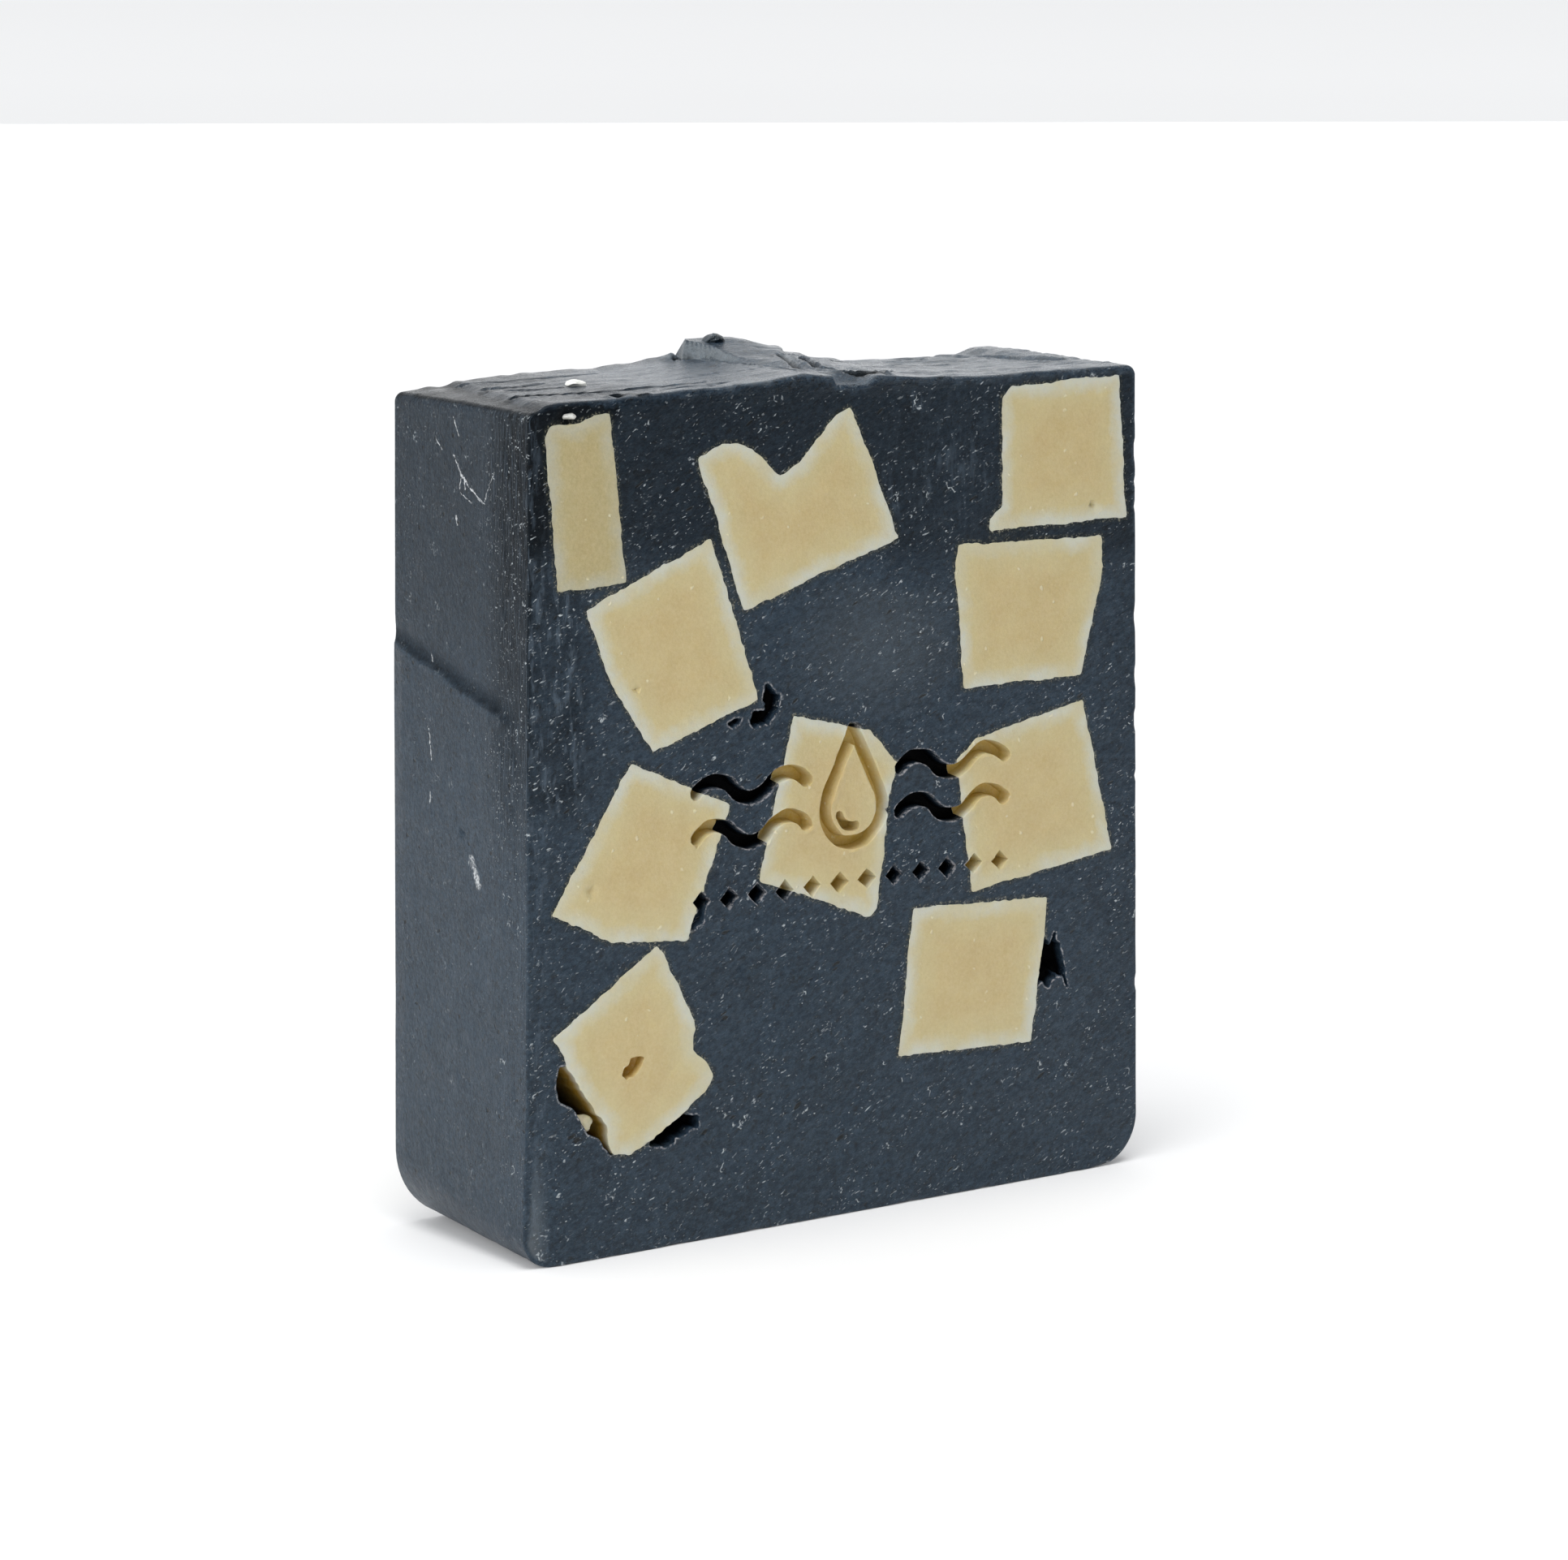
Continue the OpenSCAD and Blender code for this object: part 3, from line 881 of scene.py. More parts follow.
def band_shade(p, normals):
    """Pale (above 0) and dark (below 0) marks on the sides and the top, most of them painted light
    and shade.
    """
    x, y, z = p.T
    left = faces_left(normals)
    # Painted shade: the left side is darker towards the top, and also darker in a strip near the
    # front
    shade = -0.5 * left * step(z, 34, 66) - 0.5 * left * step(y, -3, -7.5) * step(z, 30, 44)
    # Painted highlight on the lip just below the crease of the left side
    shade += 0.22 * left * bell(crease_height(p) - 0.45 - z, 0.25) * step(y, -8, -5)
    upper = step(normals[:, 1], 0.5, 0.9)
    # Painted shade on the top: darker past the fold at the left end, and in streaks further left
    flat_end_shade = step(x - fold_line(y), 0.3, -0.5)
    streaks = 0.6 + 0.4 * noise(p, (3, 0.8, 1), 134)
    shade -= upper * (0.5 * flat_end_shade + step(x, -12, -24) * streaks)
    # Painted light on the left facet of the mound
    lit_mound_side = step(normals[:, 0], -0.07, -0.2) * between(x, -6, -5, 2.5, 3.5) * step(y, -2, 0)
    shade += 0.6 * upper * lit_mound_side
    shade -= 0.5 * upper * bell(y - BACK, 0.7) * step(x, -2, -5)
    # Painted highlight along the front edge of the top
    rim = bell(y - FRONT - 0.8, 0.8) * step(x, -1, -3)
    rim = rim * np.clip(0.35 + 1.2 * noise(p, 0.9, 133), 0, 1)
    return shade + 0.7 * upper * rim


def band_crease_shadow(p, normals):
    """Distance from the painted shadow line of a crease, in its half-widths."""
    x, y, z = p.T
    seam = np.full(len(p), 4.0)
    drawn_in = np.array([1, 0.4])
    for path, width, depth in TOP_CRACKS:
        d = path_distance(p[:, :2] * drawn_in, np.array(path, float) * drawn_in)
        d = np.abs(d + 0.06 * noise(p[:, :2], 0.7, 103))
        dark = d / (1.7 * width) + 1.2 * max(1 - depth / 0.45, 0)
        seam = np.minimum(seam, np.where(normals[:, 1] > 0.6, dark, 4))
    # The painted shadow in a band above the crease of the left side
    above = z - crease_height(p)
    across = 0.6 + np.where(above > 0, 0.28 * above, -1.3 * above) + 3 * step(y, -5.5, -9.5)
    return np.minimum(seam, np.where(normals[:, 0] < -0.6, across, 4))


def band_scuff(p, normals):
    """How strongly points of the left side are streaked."""
    x, y, z = p.T
    left = faces_left(normals)
    near_front = step(y, -2.5, -8.5) * (0.35 + 0.65 * step(z, 30, 44))
    patch = 0.8 * step(0.9 - np.abs(y + 2), 0, 0.3) * step(1.3 - np.abs(z - 33), 0, 0.5)
    return left * np.clip(near_front + patch + 0.25 * step(z, 52, 66), 0, 1)


def edge_fade(p, outline):
    """0 at the face's rim, 1 away from it."""
    return step(path_distance(p, outline, closed=True), 0.05, 0.7)


# ---------------------------------------------------------------- putting the pieces together


def rough_side(p, right_end):
    """The torn strip of the front at the upper left edge, fading out at an X."""
    return step(p[:, 0], right_end, -28) * between(p[:, 1], 36, 41, 56, 60)


# Darker and paler parts of the black front: how much, and the X and the Z where each starts and
# where it is full
FRONT_TONES = [
    (0.4, (-30, -32.4), (14, 3)),
    # Painted shade under the rolled top edge at the top left
    (-0.9, (-22.5, -24.5), (70.3, 71.2)),
    # Painted shade along the left edge of the front, high up
    (-0.5, (-29.6, -30.6), (56, 60)),
]
# The pale middle of the front, and patches of flecks and hairs: X, Z, reach along X, reach along Z
PALE_MIDDLE = (4, 50, 9.8, 7)
FLECKS, CURL, SCRAPE = (11.5, 64.5, 6, 5), (7.7, 70.4, 0.8, 0.8), (5.5, 62.2, 0.55, 1.1)


def patch(p, spot):
    """1 in the middle of a spot of the front, fading out round it."""
    x, z, reach_x, reach_z = spot
    return bell(np.hypot((p[:, 0] - x) / reach_x, (p[:, 1] - z) / reach_z), 1)


def front_shade(p):
    """Pale and dark marks on the front of the black soap. The upper part is darker."""
    x, z = p.T
    above = z + 0.08 * x - 57.3 + 1.2 * noise(p, 8, 140) + 0.5 * noise(p, 2.5, 141)
    shade = (-0.62 + 0.1 * step(x, 3, 12)) * step(above, -2.6, 2.4) - 0.1 * step(x, 26, 32)
    for amount, across, upward in FRONT_TONES:
        shade += amount * step(x, *across) * step(z, *upward)
    shade += 0.18 * patch(p, PALE_MIDDLE)
    # Painted shade: a dark line along the rounded left edge of the front
    shade -= 0.9 * bell(x + 33, 0.55) * step(z, 2, 4)
    return shade - rough_side(p, -25) * (0.4 + 0.3 * noise(p, 2, 142))


def front_scuff(p):
    """How strongly the front of the black soap is flecked. Above 1 it is covered in hairs."""
    flecked = rough_side(p, -26) + 0.6 * patch(p, FLECKS) + 0.6 * step(p[:, 0], -30.3, -31)
    hairs = 2 * np.maximum(patch(p, CURL), patch(p, SCRAPE))
    return np.maximum(np.clip(flecked, 0, 1), hairs)


def add_end(builder, face, region, xz, y, given=(), **tags):
    """Adds one piece's share of a cut face. given pairs the face's points with numbers of points
    that are there already."""
    triangles = face.triangles[face.region == region]
    ids = np.full(len(face.p), -1)
    for place, number in given:
        ids[place] = number
    wanted = np.unique(triangles)
    free = wanted[ids[wanted] < 0]
    points = np.column_stack([xz[free, 0], y[free], xz[free, 1]])
    ids[free] = builder.add(points, **{key: values[free] for key, values in tags.items()})
    builder.faces.extend(tuple(ids[t]) for t in triangles)
    return ids


def add_stick(name, k, front, back, relief):
    """A cream stick: two ends, joined by rows of points that follow its lean."""
    stick = Builder()
    front_loop, back_loop, _ = STICKS[name]
    rows = []
    for share in np.linspace(0, 1, WALL_ROWS + 2)[1:-1]:
        loop = front_loop + (back_loop - front_loop) * share
        loop = loop + loop_normals(loop) * side_roughness(loop, share)[:, None]
        y = np.full(len(loop), FRONT + DEPTH * share)
        # Painted shade on the stick's wall where it shows through the void at the left
        void_shade = inside(front_loop, grown(LEFT_VOID, 0.3)) * step(share * DEPTH, -3, 8)
        points = np.column_stack([loop[:, 0], y, loop[:, 1]])
        rows.append(stick.add(points, inner=0.5, shade=-void_shade))
    stick.grid(rows)
    back_y = BACK - 0.03 - 0.02 * layered(back.p, 5, 172, 3)
    ends = (
        (front, front_loop, rows[0], FRONT + relief[0], relief[1], relief[2]),
        (back, back_loop, rows[-1], back_y, np.zeros(len(back.p)), np.full(len(back.p), 4.0)),
    )
    for face, loop, row, y, sunken, brink in ends:
        inner = path_distance(face.p, loop, closed=True)
        # The scuff tag of a stick's ends carries painted shade on the shaded stick
        shaded = np.full(len(face.p), float(name == SHADED_STICK))
        # Painted shade in the pit in a stick's face
        shade = -0.3 * step(sunken, 0, 0.3) * inside(face.p, grown(STICK_PIT, 0.05))
        ids = add_end(stick, face, k, face.p, y, inner=inner, sunken=sunken, brink=brink,
                      shade=shade, scuff=shaded)
        ring = face.ring(k, loop)
        stick.zip_rings(ids[ring], shares_along(face.p[ring]), row, shares_along(loop))
    return add_object(name.replace("stick", "cream_stick"), stick, CREAM, name)


def side_roughness(loop, share):
    """How far a stick's wall strays outward, at a share of its length."""
    along = np.column_stack([loop, np.full(len(loop), share * DEPTH)])
    return 0.05 * layered(along, 2.5, 180, 2) - 0.02


def make_bar():
    """The black soap and the ten cream sticks."""
    base = Builder()
    front_ring, front_outline, back_ring, back_outline = build_band(base)
    front_loops = [s[0] for s in STICKS.values()]
    back_loops = [s[1] for s in STICKS.values()]
    voids = [v[0] for v in CHARCOAL_VOIDS + CREAM_VOIDS]
    feet = [soften(v - loop_normals(v) * VOID_WALL, 1) for v in voids]
    lines = stamp_outlines() + voids + feet
    front = Face(front_outline, front_loops, lines, 0.5, FINE_SPOTS, 0.27, 150)
    back = Face(back_outline, back_loops, [], 0.8, [], 0.8, 160)

    depth, sunken, brink = face_relief(front.p, False, edge_fade(front.p, front_outline))
    depth = depth + worn(front.p)
    lean = STICKS["stick_lower_left"][2]
    follows = inside(front.p, grown(LEFT_VOID, 0.05)) * depth / DEPTH
    front_xz = front.p - lean * follows[:, None]
    back_relief = 0.02 + 0.04 * layered(back.p, 6, 170, 3)
    back_relief += 0.015 * layered(back.p, (0.9, 0.45, 1), 171, 2)
    back_y = BACK - edge_fade(back.p, back_outline) * back_relief
    inner = np.min([path_distance(front.p, loop, closed=True) for loop in front_loops], axis=0)
    front_ids = add_end(base, front, -1, front_xz, FRONT + depth,
                        zip(front.outline_ids, front_ring), sunken=sunken, brink=brink,
                        inner=inner, shade=front_shade(front.p), scuff=front_scuff(front.p))
    back_ids = add_end(base, back, -1, back.p, back_y, zip(back.outline_ids, back_ring))

    cream_relief = face_relief(front.p, True, 1)
    for k, name in enumerate(STICKS):
        front_ring = front.ring(k, front_loops[k])
        back_ring = back.ring(k, back_loops[k])
        base.zip_rings(front_ids[front_ring], shares_along(front.p[front_ring]),
                       back_ids[back_ring], shares_along(back.p[back_ring]))
        add_stick(name, k, front, back, cream_relief)
    add_object("black_soap", base, CHARCOAL, "charcoal_base")


def grown(loop, amount):
    """A closed loop moved outward."""
    return loop + loop_normals(loop) * amount


def make_crumb(node, material, squash, seed):
    """An irregular crumb where the CAD has a ball."""
    low, high = (np.array(corner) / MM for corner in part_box(node))
    middle, r = (low + high) / 2, (high - low).max() / 2
    bm = bmesh.new()
    bmesh.ops.create_icosphere(bm, subdivisions=4, radius=1.0)
    unit = np.array([v.co[:] for v in bm.verts])
    faces = [tuple(v.index for v in f.verts) for f in bm.faces]
    bm.free()
    # Flat facets, as if the crumb had been torn off
    rng = np.random.default_rng(seed)
    ways = rng.normal(size=(9, 3))
    ways /= np.linalg.norm(ways, axis=1)[:, None]
    cuts = rng.uniform(0.55, 0.85, 9)
    reach = np.ones(len(unit))
    for way, cut in zip(ways, cuts):
        facing = unit @ way
        reach = np.minimum(reach, np.where(facing > 0.05, cut / np.maximum(facing, 0.05), 9))
    shape = unit * (reach * (1 + 0.09 * layered(unit, 0.5, seed, 3)))[:, None]
    crumb = Builder()
    crumb.add(middle + shape * r * np.array(squash), inner=0.3)
    crumb.faces = faces
    return add_object(node.replace("crumb", "loose_crumb"), crumb, material, node, 50)


# ---------------------------------------------------------------- materials


class Nodes:
    """Short names for making shader nodes."""

    def __init__(self, name):
        self.material = bpy.data.materials.new(name)
        self.material.use_nodes = True
        self.tree = self.material.node_tree
        self.shader = self.tree.nodes["Principled BSDF"]
        self.here = self.place()

    def node(self, kind, inputs=None, **settings):
        n = self.tree.nodes.new(kind)
        for key, value in settings.items():
            setattr(n, key, value)
        for key, value in (inputs or {}).items():
            self.put(n.inputs[key], value)
        return n

    def put(self, socket, value):
        if isinstance(value, bpy.types.NodeSocket):
            self.tree.links.new(value, socket)
        else:
            socket.default_value = value

    def set(self, name, value):
        self.put(self.shader.inputs[name], value)

    def maths(self, operation, a, b=0.0, clamp=False):
        n = self.node("ShaderNodeMath", {0: a, 1: b}, operation=operation, use_clamp=clamp)
        return n.outputs[0]

    def vector(self, operation, a, b=(0, 0, 0), c=(0, 0, 0), output="Vector"):
        n = self.node("ShaderNodeVectorMath", {0: a, 1: b, 2: c}, operation=operation)
        return n.outputs[output]

    def plus(self, a, b):
        return self.maths("ADD", a, b)

    def minus(self, a, b):
        return self.maths("SUBTRACT", a, b)

    def times(self, a, b):
        return self.maths("MULTIPLY", a, b)

    def larger(self, a, b):
        return self.maths("MAXIMUM", a, b)

    def mix(self, share, a, b):
        n = self.node("ShaderNodeMix", {0: share, 6: a, 7: b}, data_type="RGBA")
        return n.outputs[2]

    def paint(self, rgb, share, strength=None):
        """Lays a colour over self.colour, by a share and a strength."""
        if strength is not None:
            share = self.times(share, strength)
        self.colour = self.mix(share, self.colour, linear(*rgb))

    def range(self, value, low, high, to_low=0.0, to_high=1.0):
        n = self.node("ShaderNodeMapRange", {0: value, 1: low, 2: high, 3: to_low, 4: to_high})
        return n.outputs[0]

    def attribute(self, name):
        return self.node("ShaderNodeAttribute", attribute_name=name).outputs["Fac"]

    def place(self, slope=0, stretch=(1, 1, 1)):
        """Object coordinates in mm. slope tips the X axis up by some degrees, and then each axis is
        stretched."""
        where = self.node("ShaderNodeTexCoord").outputs["Object"]
        inputs = {"Vector": where, "Rotation": (0, math.radians(-slope), 0),
                  "Scale": tuple(s * MM for s in stretch)}
        return self.node("ShaderNodeMapping", inputs, vector_type="TEXTURE").outputs[0]

    def warp(self, place, size, amount):
        """Moves places about by up to half an amount in mm."""
        shift = self.node("ShaderNodeTexNoise", {"Vector": place, "Scale": 1 / size, "Detail": 1.0})
        return self.vector("MULTIPLY_ADD", shift.outputs["Color"], (amount,) * 3, place)

    def scratch(self, place, start, end, width):
        """A line between two places, 1 on it and 0 outside its half-width."""
        start, end = Vector(start), Vector(end)
        run = end - start
        reach = self.vector("SUBTRACT", place, start)
        dot = self.vector("DOT_PRODUCT", reach, run, output="Value")
        share = self.maths("DIVIDE", dot, run.length_squared, clamp=True)
        point = self.node("ShaderNodeVectorMath", {0: run, "Scale": share}, operation="SCALE")
        gap = self.vector("DISTANCE", reach, point.outputs["Vector"], output="Value")
        return self.range(gap, width, width * 0.4)

    def noise(self, place, size, detail=3.0, rough=0.5):
        inputs = {"Vector": place, "Scale": 1 / size, "Detail": detail, "Roughness": rough}
        return self.node("ShaderNodeTexNoise", inputs).outputs["Fac"]

    def specks(self, place, cell, radius, chosen):
        """Small spots, one in some of the cells. radius is in cells, chosen the share of cells."""
        v = self.node("ShaderNodeTexVoronoi", {"Vector": place, "Scale": 1 / cell})
        spot = self.range(v.outputs["Distance"], radius, radius * 0.55)
        pick = self.node("ShaderNodeSeparateColor", {0: v.outputs["Color"]})
        return self.times(spot, self.maths("LESS_THAN", pick.outputs[0], chosen))

    def bump(self, height, strength, depth_mm):
        inputs = {"Height": height, "Strength": strength, "Distance": depth_mm * MM}
        self.put(self.shader.inputs["Normal"], self.node("ShaderNodeBump", inputs).outputs[0])


def linear(r, g, b):
    """A display colour from 0 to 255 as linear light."""
    def one(c):
        c /= 255
        return c / 12.92 if c <= 0.04045 else ((c + 0.055) / 1.055) ** 2.4
    return (one(r), one(g), one(b), 1.0)


# Scratches on the left side, in Y and Z from end to end, with their half-widths
SIDE_SCRATCHES = [
    ((1.2, 70.7), (0.4, 69.3), 0.08), ((3.9, 68.7), (2.9, 67.9), 0.08),
    # A fan of them
    ((1.2, 67.7), (0, 66.1), 0.1), ((0, 66.1), (-0.9, 65.4), 0.16), ((-0.4, 65.9), (-0.6, 65), 0.1),
    ((-0.5, 65.6), (-3.5, 64), 0.08), ((-0.9, 65.4), (-2.8, 64.2), 0.06),
    ((0, 66.1), (0.2, 64.9), 0.1), ((0.1, 64.6), (-1.6, 63.9), 0.06),
    ((-4.9, 66.8), (-3.4, 64), 0.05), ((0.8, 62.6), (0.6, 61.9), 0.12),
    ((4.9, 50.5), (4.7, 50), 0.12),
    ((4.6, 44.2), (4.2, 41.6), 0.09), ((4.4, 38.8), (4.5, 37.9), 0.1), ((-1.9, 34), (-2.9, 32), 0.5),
]


def paint_grain(m, short):
    """Clouds and fine grain, made darker or paler by the shade tag. Gives how dark they are made."""
    shade = m.attribute("shade")
    clouds = m.range(m.noise(m.here, 5, 5, 0.65), 0.35, 0.66)
    m.colour = m.mix(clouds, linear(11, 27, 41), linear(20, 38, 54))
    grain = m.range(m.noise(short, 0.36, 6, 0.8), 0.43, 0.66)
    m.paint((58, 75, 90), grain, 0.75)
    dark_grain = m.range(m.noise(m.warp(short, 0.6, 0.8), 0.45, 5, 0.75), 0.46, 0.36)
    m.paint((7, 12, 18), dark_grain, 0.85)
    # The shade tag holds painted shade and painted highlights as well as real darker and paler marks
    dark_marks_and_shade = m.range(shade, 0, -1.0)
    m.paint((6, 8, 10), dark_marks_and_shade, 0.88)
    m.paint((140, 146, 149), m.range(shade, 0.05, 1.0, 0, 0.75))
    return dark_marks_and_shade


def curled_hairs(m, short, scuff):
    """Short pale curls in a few tufts, and wherever the scuff tag is above 1."""
    curls = m.maths("ABSOLUTE", m.minus(m.noise(short, 0.9, 2, 0.5), 0.5))
    tufts = m.larger(m.range(m.noise(m.here, 1.5, 2, 0.5), 0.65, 0.7), m.range(scuff, 1.1, 1.5))
    curls = m.times(m.range(curls, 0.035, 0.012), tufts)
    return m.times(curls, m.range(m.noise(m.here, 0.25, 2, 0.6), 0.42, 0.55))


def paint_flecks(m, streaky, short, x, on_top):
    """Pale flecks in loose drifts, and small pits. Gives where they are."""
    scuff = m.attribute("scuff")
    torn = m.warp(streaky, 0.4, 0.7)
    drift = m.range(m.noise(m.here, 3.2, 4, 0.65), 0.44, 0.6, 0.05, 1.0)
    bright = m.specks(torn, 0.38, 0.22, 0.32)
    faint = m.times(m.specks(torn, 0.24, 0.26, 0.5), 0.5)
    dots = m.specks(m.here, 0.5, 0.14, 0.22)
    marks = m.times(m.larger(m.larger(bright, faint), dots), m.larger(drift, scuff))
    marks = m.larger(marks, curled_hairs(m, short, scuff))
    # There are few on the top and on the left side away from its streaks
    marks = m.times(marks, m.minus(1.0, m.times(on_top, 0.7)))
    clean = m.times(m.range(x, -31.2, -31.8), m.range(scuff, 0.5, 0.1))
    marks = m.times(marks, m.minus(1.0, m.times(clean, 0.7)))
    m.paint((190, 198, 202), marks, 0.92)
    pits = m.specks(m.warp(streaky, 0.5, 0.5), 1.15, 0.17, 0.26)
    m.paint((6, 7, 8), pits)
    return marks, pits


def paint_streaks(m):
    """Upright streaks, where the scuff tag says. Gives where they are."""
    upright = m.place(stretch=(1, 0.16, 3.5))
    streaks = m.range(m.noise(upright, 0.7, 3, 0.65), 0.5, 0.66)
    streaks = m.times(streaks, m.attribute("scuff"))
    m.paint((112, 128, 144), streaks, 0.3)
    return streaks


def paint_wrinkles(m, x, on_top):
    """Wrinkles of the top, drawn out along the bar, with painted shade in their furrows. Gives their
    height.
    """
    drawn = m.place(stretch=(7, 0.8, 1))
    wrinkles = m.range(m.noise(m.warp(drawn, 1.2, 0.5), 0.9, 5, 0.7), 0.36, 0.64)
    drawn_out = m.times(on_top, m.range(x, -8, 4, 0.4, 1))
    furrow_shade = m.times(m.range(wrinkles, 0.35, 0.1), drawn_out)
    m.paint((14, 18, 22), furrow_shade, 0.5)
    return m.times(wrinkles, drawn_out)


def paint_torn_edges(m):
    """A dirty line with pale hairs where the black soap meets a stick, and frayed white edges
    round the openings."""
    inner = m.attribute("inner")
    brink = m.attribute("brink")
    m.paint((22, 28, 27), m.times(m.range(inner, 0.5, 0.05), 0.7))
    hairs = m.range(m.noise(m.here, 0.22, 4, 0.75), 0.54, 0.66)
    hairs = m.times(hairs, m.range(inner, 0.4, 0.08))
    m.paint((176, 172, 150), hairs, 0.8)
    frayed = m.range(m.noise(m.here, 0.35, 3, 0.7), 0.44, 0.6)
    edge = m.times(m.range(brink, 0.02, 0.08), m.range(brink, 0.22, 0.1))
    m.paint((178, 176, 178), m.times(edge, frayed), 0.8)


def paint_scratches(m, x):
    """The scratches on the left side."""
    across = m.vector("MULTIPLY", m.warp(m.here, 0.5, 0.4), (0, 1, 1))
    on_left = m.range(x, -31, -31.6)
    on_left = m.times(on_left, m.range(m.noise(m.here, 0.22, 3, 0.7), 0.4, 0.6))
    for start, end, width in SIDE_SCRATCHES:
        scratch = m.scratch(across, (0, *start), (0, *end), width)
        m.paint((215, 218, 220), m.times(scratch, on_left), 0.9)


def charcoal_material():
    m = Nodes("charcoal_soap")
    # Streaks run up and to the right, as the cutting wire left them
    streaky = m.place(slope=25, stretch=(2.6, 1, 1))
    short = m.place(slope=25, stretch=(1.5, 1, 1))
    axes = m.node("ShaderNodeSeparateXYZ", {0: m.here})
    x = axes.outputs[0]
    on_top = m.range(axes.outputs[2], 71, 72.1)
    crease_shadows = m.range(m.attribute("seam"), 1.0, 0.35)
    sunken = m.attribute("sunken")

    dark_marks_and_shade = paint_grain(m, short)
    marks, pits = paint_flecks(m, streaky, short, x, on_top)
    streaks = paint_streaks(m)
    wrinkles = paint_wrinkles(m, x, on_top)
    # Painted shadow in the creases of the top and above the crease of the left side
    m.paint((6, 8, 10), crease_shadows, 0.9)
    paint_torn_edges(m)
    paint_scratches(m, x)
    # Painted shade in the openings and the stamped strokes
    m.paint((5, 5, 6), m.range(sunken, 0.1, 0.8))
    m.set("Base Color", m.colour)

    gloss = m.range(m.noise(m.here, 1.4, 3, 0.6), 0.3, 0.7, 0.34, 0.46)
    m.set("Roughness", m.minus(gloss, m.times(on_top, 0.16)))
    shine = m.times(m.range(sunken, 0, 0.6, 0.46, 0.03), m.range(dark_marks_and_shade, 0, 1, 1, 0.25))
    shine = m.times(shine, m.range(crease_shadows, 0, 1, 1, 0.1))
    more = m.times(on_top, m.range(x, -30, 8, -0.5, 0.6))
    m.set("Specular IOR Level", m.times(shine, m.plus(1.0, more)))
    m.set("Specular Tint", (0.86, 0.95, 1.0, 1.0))
    height = m.plus(m.noise(short, 0.35, 5, 0.75), m.times(m.noise(streaky, 1.1, 3, 0.6), 1.2))
    for relief, strength in ((wrinkles, 0.8), (marks, 0.6), (streaks, 0.5), (pits, -0.9)):
        height = m.plus(height, m.times(relief, strength))
    m.bump(height, 0.7, 0.16)
    return m.material


def cream_material():
    m = Nodes("cream_soap")
    shade = m.attribute("shade")
    sunken = m.attribute("sunken")
    wander = m.times(m.noise(m.here, 1.6, 4, 0.65), 1.6)
    inner = m.plus(m.attribute("inner"), m.minus(wander, 0.8))

    # Yellow near the rim, tan within, and pale in patches along the rim itself
    mottle = m.range(m.noise(m.here, 2.2, 5, 0.65), 0.3, 0.7)
    tan = m.mix(mottle, linear(194, 173, 124), linear(202, 184, 136))
    yellow = m.mix(mottle, linear(197, 184, 138), linear(203, 191, 147))
    m.colour = m.mix(m.range(inner, 0.8, 3.6), yellow, tan)
    patches = m.range(m.noise(m.here, 4, 2, 0.5), 0.38, 0.56, 0.4, 1)
    m.paint((203, 204, 190), m.range(inner, 1.5, 0.3), patches)
    # Painted shade over the face of the shaded stick, which its scuff tag carries
    m.paint((138, 126, 82), m.attribute("scuff"), 0.4)
    # Painted shade: golden where it is sunken or in a void, and black deep in a void
    m.paint((198, 164, 60), m.range(sunken, 0.1, 1.0, 0, 0.85))
    m.paint((172, 130, 24), m.range(shade, 0, -0.28))
    m.paint((18, 13, 5), m.range(shade, -0.4, -0.95))
    dots = m.specks(m.warp(m.here, 0.5, 0.5), 1.2, 0.16, 0.3)
    m.paint((234, 227, 196), dots, 0.6)
    grain = m.range(m.noise(m.here, 0.32, 5, 0.75), 0.4, 0.66)
    m.paint((226, 214, 172), grain, 0.22)
    brown = m.range(m.noise(m.warp(m.here, 1, 1), 0.6, 4, 0.7), 0.62, 0.74)
    m.paint((168, 140, 84), brown, 0.25)
    m.set("Base Color", m.colour)
    m.set("Subsurface Weight", 0.35)
    m.set("Subsurface Radius", (1.0, 0.7, 0.3))
    m.set("Subsurface Scale", 0.6 * MM)
    m.set("Roughness", m.range(m.noise(m.here, 1.8, 3, 0.6), 0.3, 0.7, 0.34, 0.5))
    height = m.plus(m.noise(m.here, 0.45, 5, 0.7), m.times(dots, 0.9))
    m.bump(height, 0.5, 0.13)
    return m.material


def crumb_material():
    m = Nodes("pale_crumb")
    shades = m.range(m.noise(m.here, 0.35, 3, 0.6), 0.35, 0.65)
    m.set("Base Color", m.mix(shades, linear(205, 206, 200), linear(243, 243, 238)))
    m.set("Roughness", 0.5)
    m.bump(m.noise(m.here, 0.2, 3, 0.6), 0.4, 0.08)
    return m.material


def floor_material():
    """A pale floor that glows a little further off, so that it stays white there."""
    m = Nodes("white_floor")
    far = m.noise(m.here, 900, 2, 0.5)
    m.set("Base Color", m.mix(far, (0.73, 0.73, 0.73, 1), (0.77, 0.77, 0.77, 1)))
    m.set("Roughness", 0.9)
    m.set("Specular IOR Level", 0.1)
    m.set("Emission Color", (0.99, 0.99, 1, 1))
    away = m.vector("LENGTH", m.here, output="Value")
    m.set("Emission Strength", m.range(away, 150, 2000, 0.14, 0.27))
    return m.material


def dark_card_material():
    m = Nodes("dark_card")
    shades = m.noise(m.here, 200, 2, 0.5)
    m.set("Base Color", m.mix(shades, (0.01, 0.01, 0.012, 1), (0.02, 0.02, 0.022, 1)))
    m.set("Roughness", 1.0)
    return m.material


CHARCOAL = charcoal_material()
CREAM = cream_material()
PALE = crumb_material()

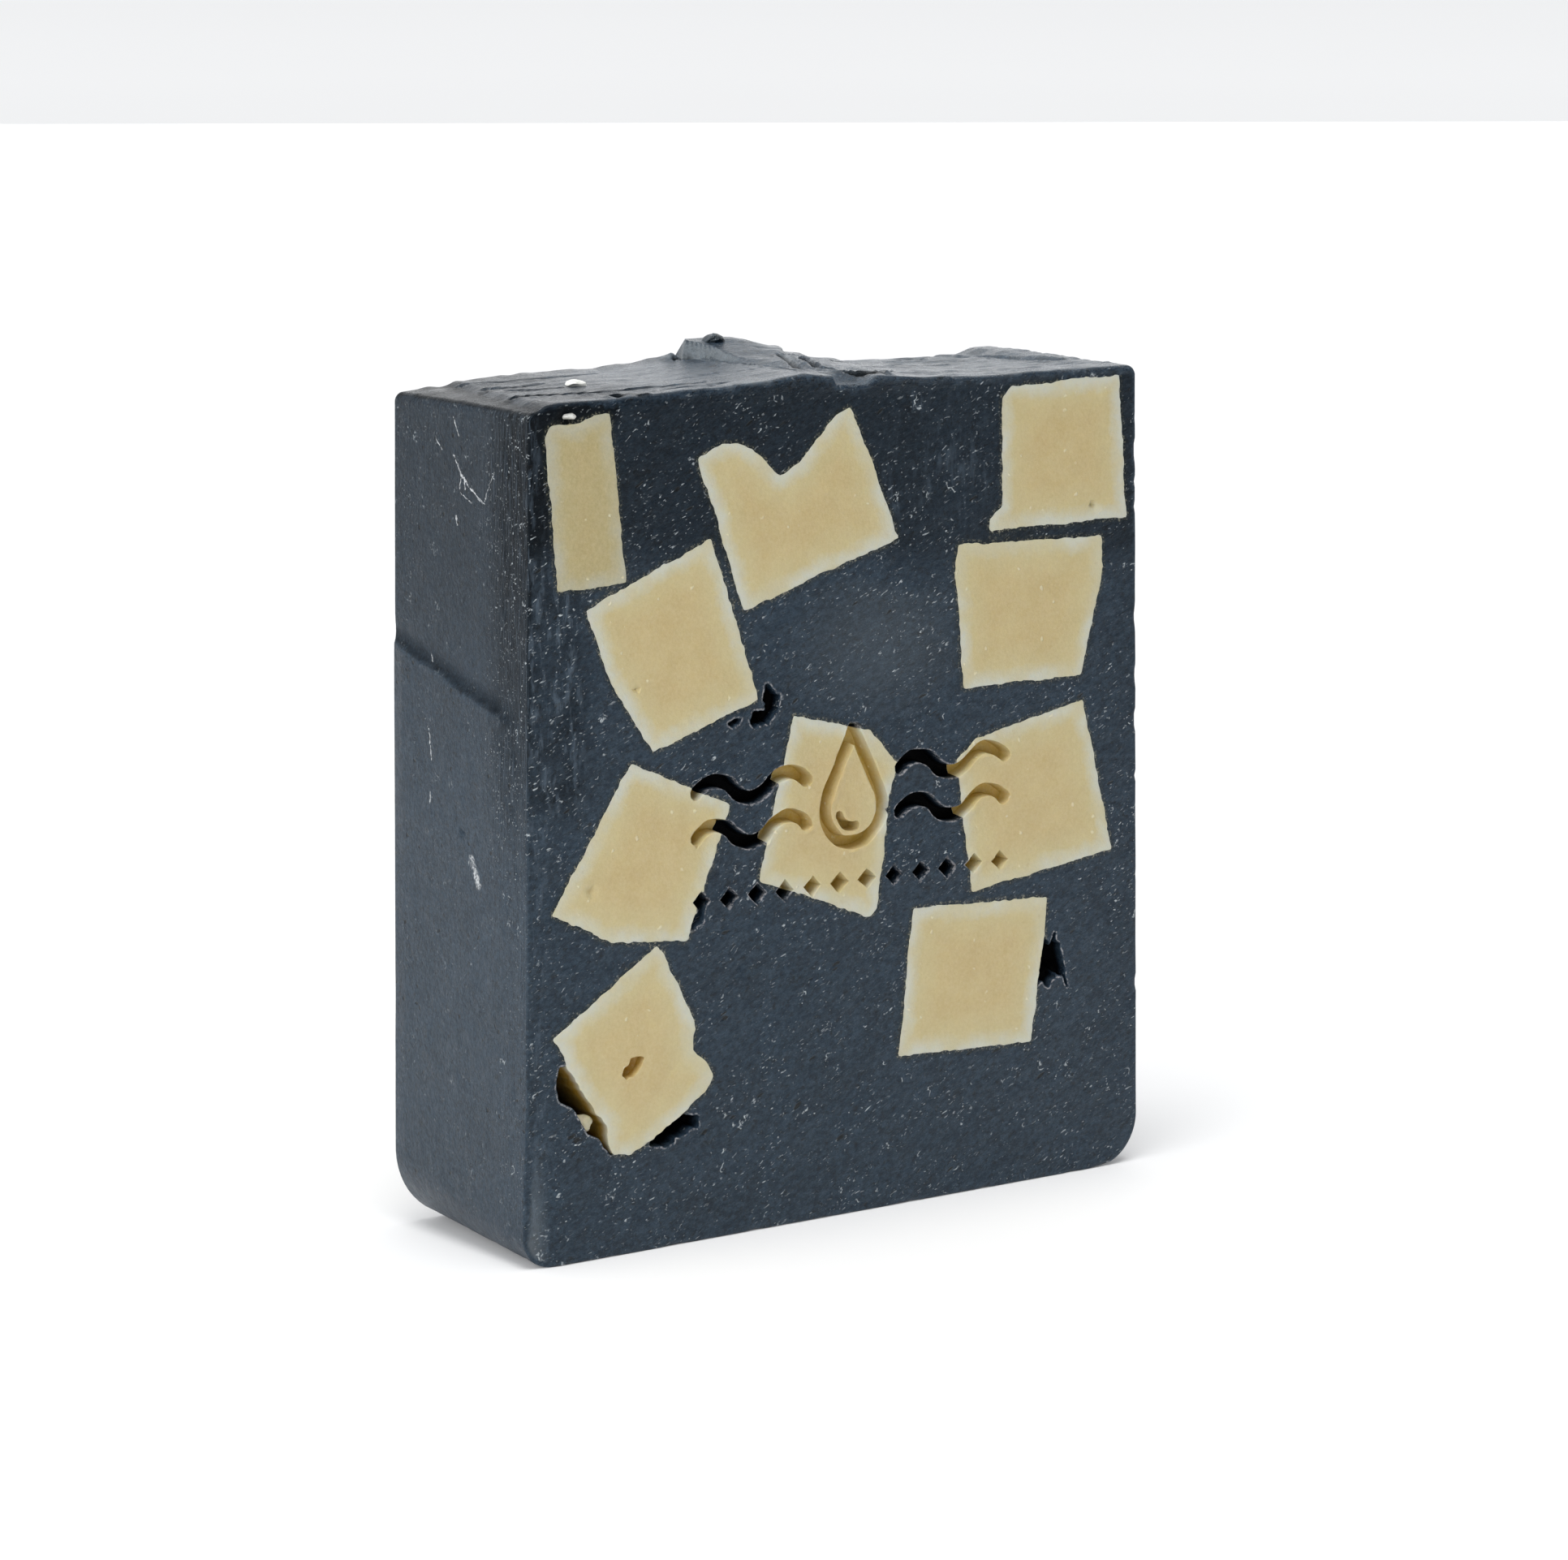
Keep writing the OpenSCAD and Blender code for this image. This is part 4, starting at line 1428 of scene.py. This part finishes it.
make_bar()
make_crumb("crumb_in_void", CREAM, (1.3, 0.7, 0.95), 21)
make_crumb("crumb_over_stick", PALE, (1.5, 0.9, 0.8), 22)
make_crumb("crumb_on_crest", CHARCOAL, (1.4, 1.0, 0.85), 23)
# A pale crumb on the top, put where a small white highlight shines: partly a crumb, partly a painted
# highlight
make_crumb("crumb_on_top", PALE, (1.45, 1.0, 0.62), 24)

# ---------------------------------------------------------------- studio


def stage_plane(name, corners, material):
    """A flat piece of the studio, in metres."""
    mesh = bpy.data.meshes.new(name)
    mesh.from_pydata(corners, [], [tuple(range(len(corners)))])
    mesh.materials.append(material)
    obj = bpy.data.objects.new(name, mesh)
    bpy.context.scene.collection.objects.link(obj)
    obj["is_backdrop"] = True


def area_light(name, place, aim, size, watts):
    """A round white light at a place, aimed at another."""
    light = bpy.data.lights.new(name, "AREA")
    light.shape = "DISK"
    light.size = size
    light.energy = watts
    obj = bpy.data.objects.new(name, light)
    obj.location = place
    obj.rotation_euler = (Vector(aim) - Vector(place)).to_track_quat("-Z", "Y").to_euler()
    bpy.context.scene.collection.objects.link(obj)


FLOOR_HALF = 8.0
floor_corners = [
    (x * FLOOR_HALF, y * FLOOR_HALF, 0) for x, y in ((-1, -1), (1, -1), (1, 1), (-1, 1))
]
stage_plane("floor", floor_corners, floor_material())

# A dark card stands off to the front right, where the front of the bar mirrors it
CARD_AWAY, CARD_HEIGHT = 0.36, 0.6
CARD_LEFT, CARD_RIGHT = -0.45, 0.35
CARD_WAY = Vector((0.58, -0.81, 0))
CARD_ACROSS = Vector((0.81, 0.58, 0))
card_corners = [
    CARD_WAY * CARD_AWAY + CARD_ACROSS * across + Vector((0, 0, height))
    for across, height in ((CARD_LEFT, 0), (CARD_RIGHT, 0), (CARD_RIGHT, CARD_HEIGHT),
                           (CARD_LEFT, CARD_HEIGHT))
]
stage_plane("dark_card", card_corners, dark_card_material())

world = bpy.data.worlds.new("studio")
bpy.context.scene.world = world
world.use_nodes = True
background = world.node_tree.nodes["Background"]
background.inputs["Color"].default_value = (0.97, 0.985, 1, 1)
background.inputs["Strength"].default_value = 0.8

area_light("overhead", (-0.15, -0.25, 1.1), (0, 0, 0.03), 0.9, 9.6)
area_light("back_glow", (0.88, 1.21, 0.5), (0, 0, 0.07), 1.2, 2.2)
area_light("left_fill", (-0.9, -0.35, 0.5), (0, 0, 0.04), 0.7, 2.2)

YAW, PITCH, ROLL = (math.radians(a) for a in (36.12, 9.936, -0.095))
CAMERA_AT = Vector((-0.28383, -0.39050, 0.12140))
ahead = Vector((math.sin(YAW) * math.cos(PITCH), math.cos(YAW) * math.cos(PITCH), -math.sin(PITCH)))
flat_right = ahead.cross(Vector((0, 0, 1))).normalized()
flat_up = flat_right.cross(ahead)
right = flat_right * math.cos(ROLL) + flat_up * math.sin(ROLL)
up = flat_up * math.cos(ROLL) - flat_right * math.sin(ROLL)
camera = bpy.data.cameras.new("camera")
camera.sensor_fit = "HORIZONTAL"
camera.sensor_width = 36
camera.lens = 129.15
camera.clip_start = 0.01
camera.clip_end = 50
camera_object = bpy.data.objects.new("camera", camera)
axes = Matrix((right, up, -ahead)).transposed().to_4x4()
camera_object.matrix_world = Matrix.Translation(CAMERA_AT) @ axes
bpy.context.scene.collection.objects.link(camera_object)
bpy.context.scene.camera = camera_object
bpy.context.scene.view_settings.view_transform = "Standard"

final_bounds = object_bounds()


def plain(bounds):
    """Bounds as plain lists of numbers."""
    if isinstance(bounds, dict):
        return {key: plain(value) for key, value in bounds.items()}
    return [plain(v) if hasattr(v, "__len__") else float(v) for v in bounds]


{"cad": plain(cad_bounds), "visual": plain(final_bounds)}
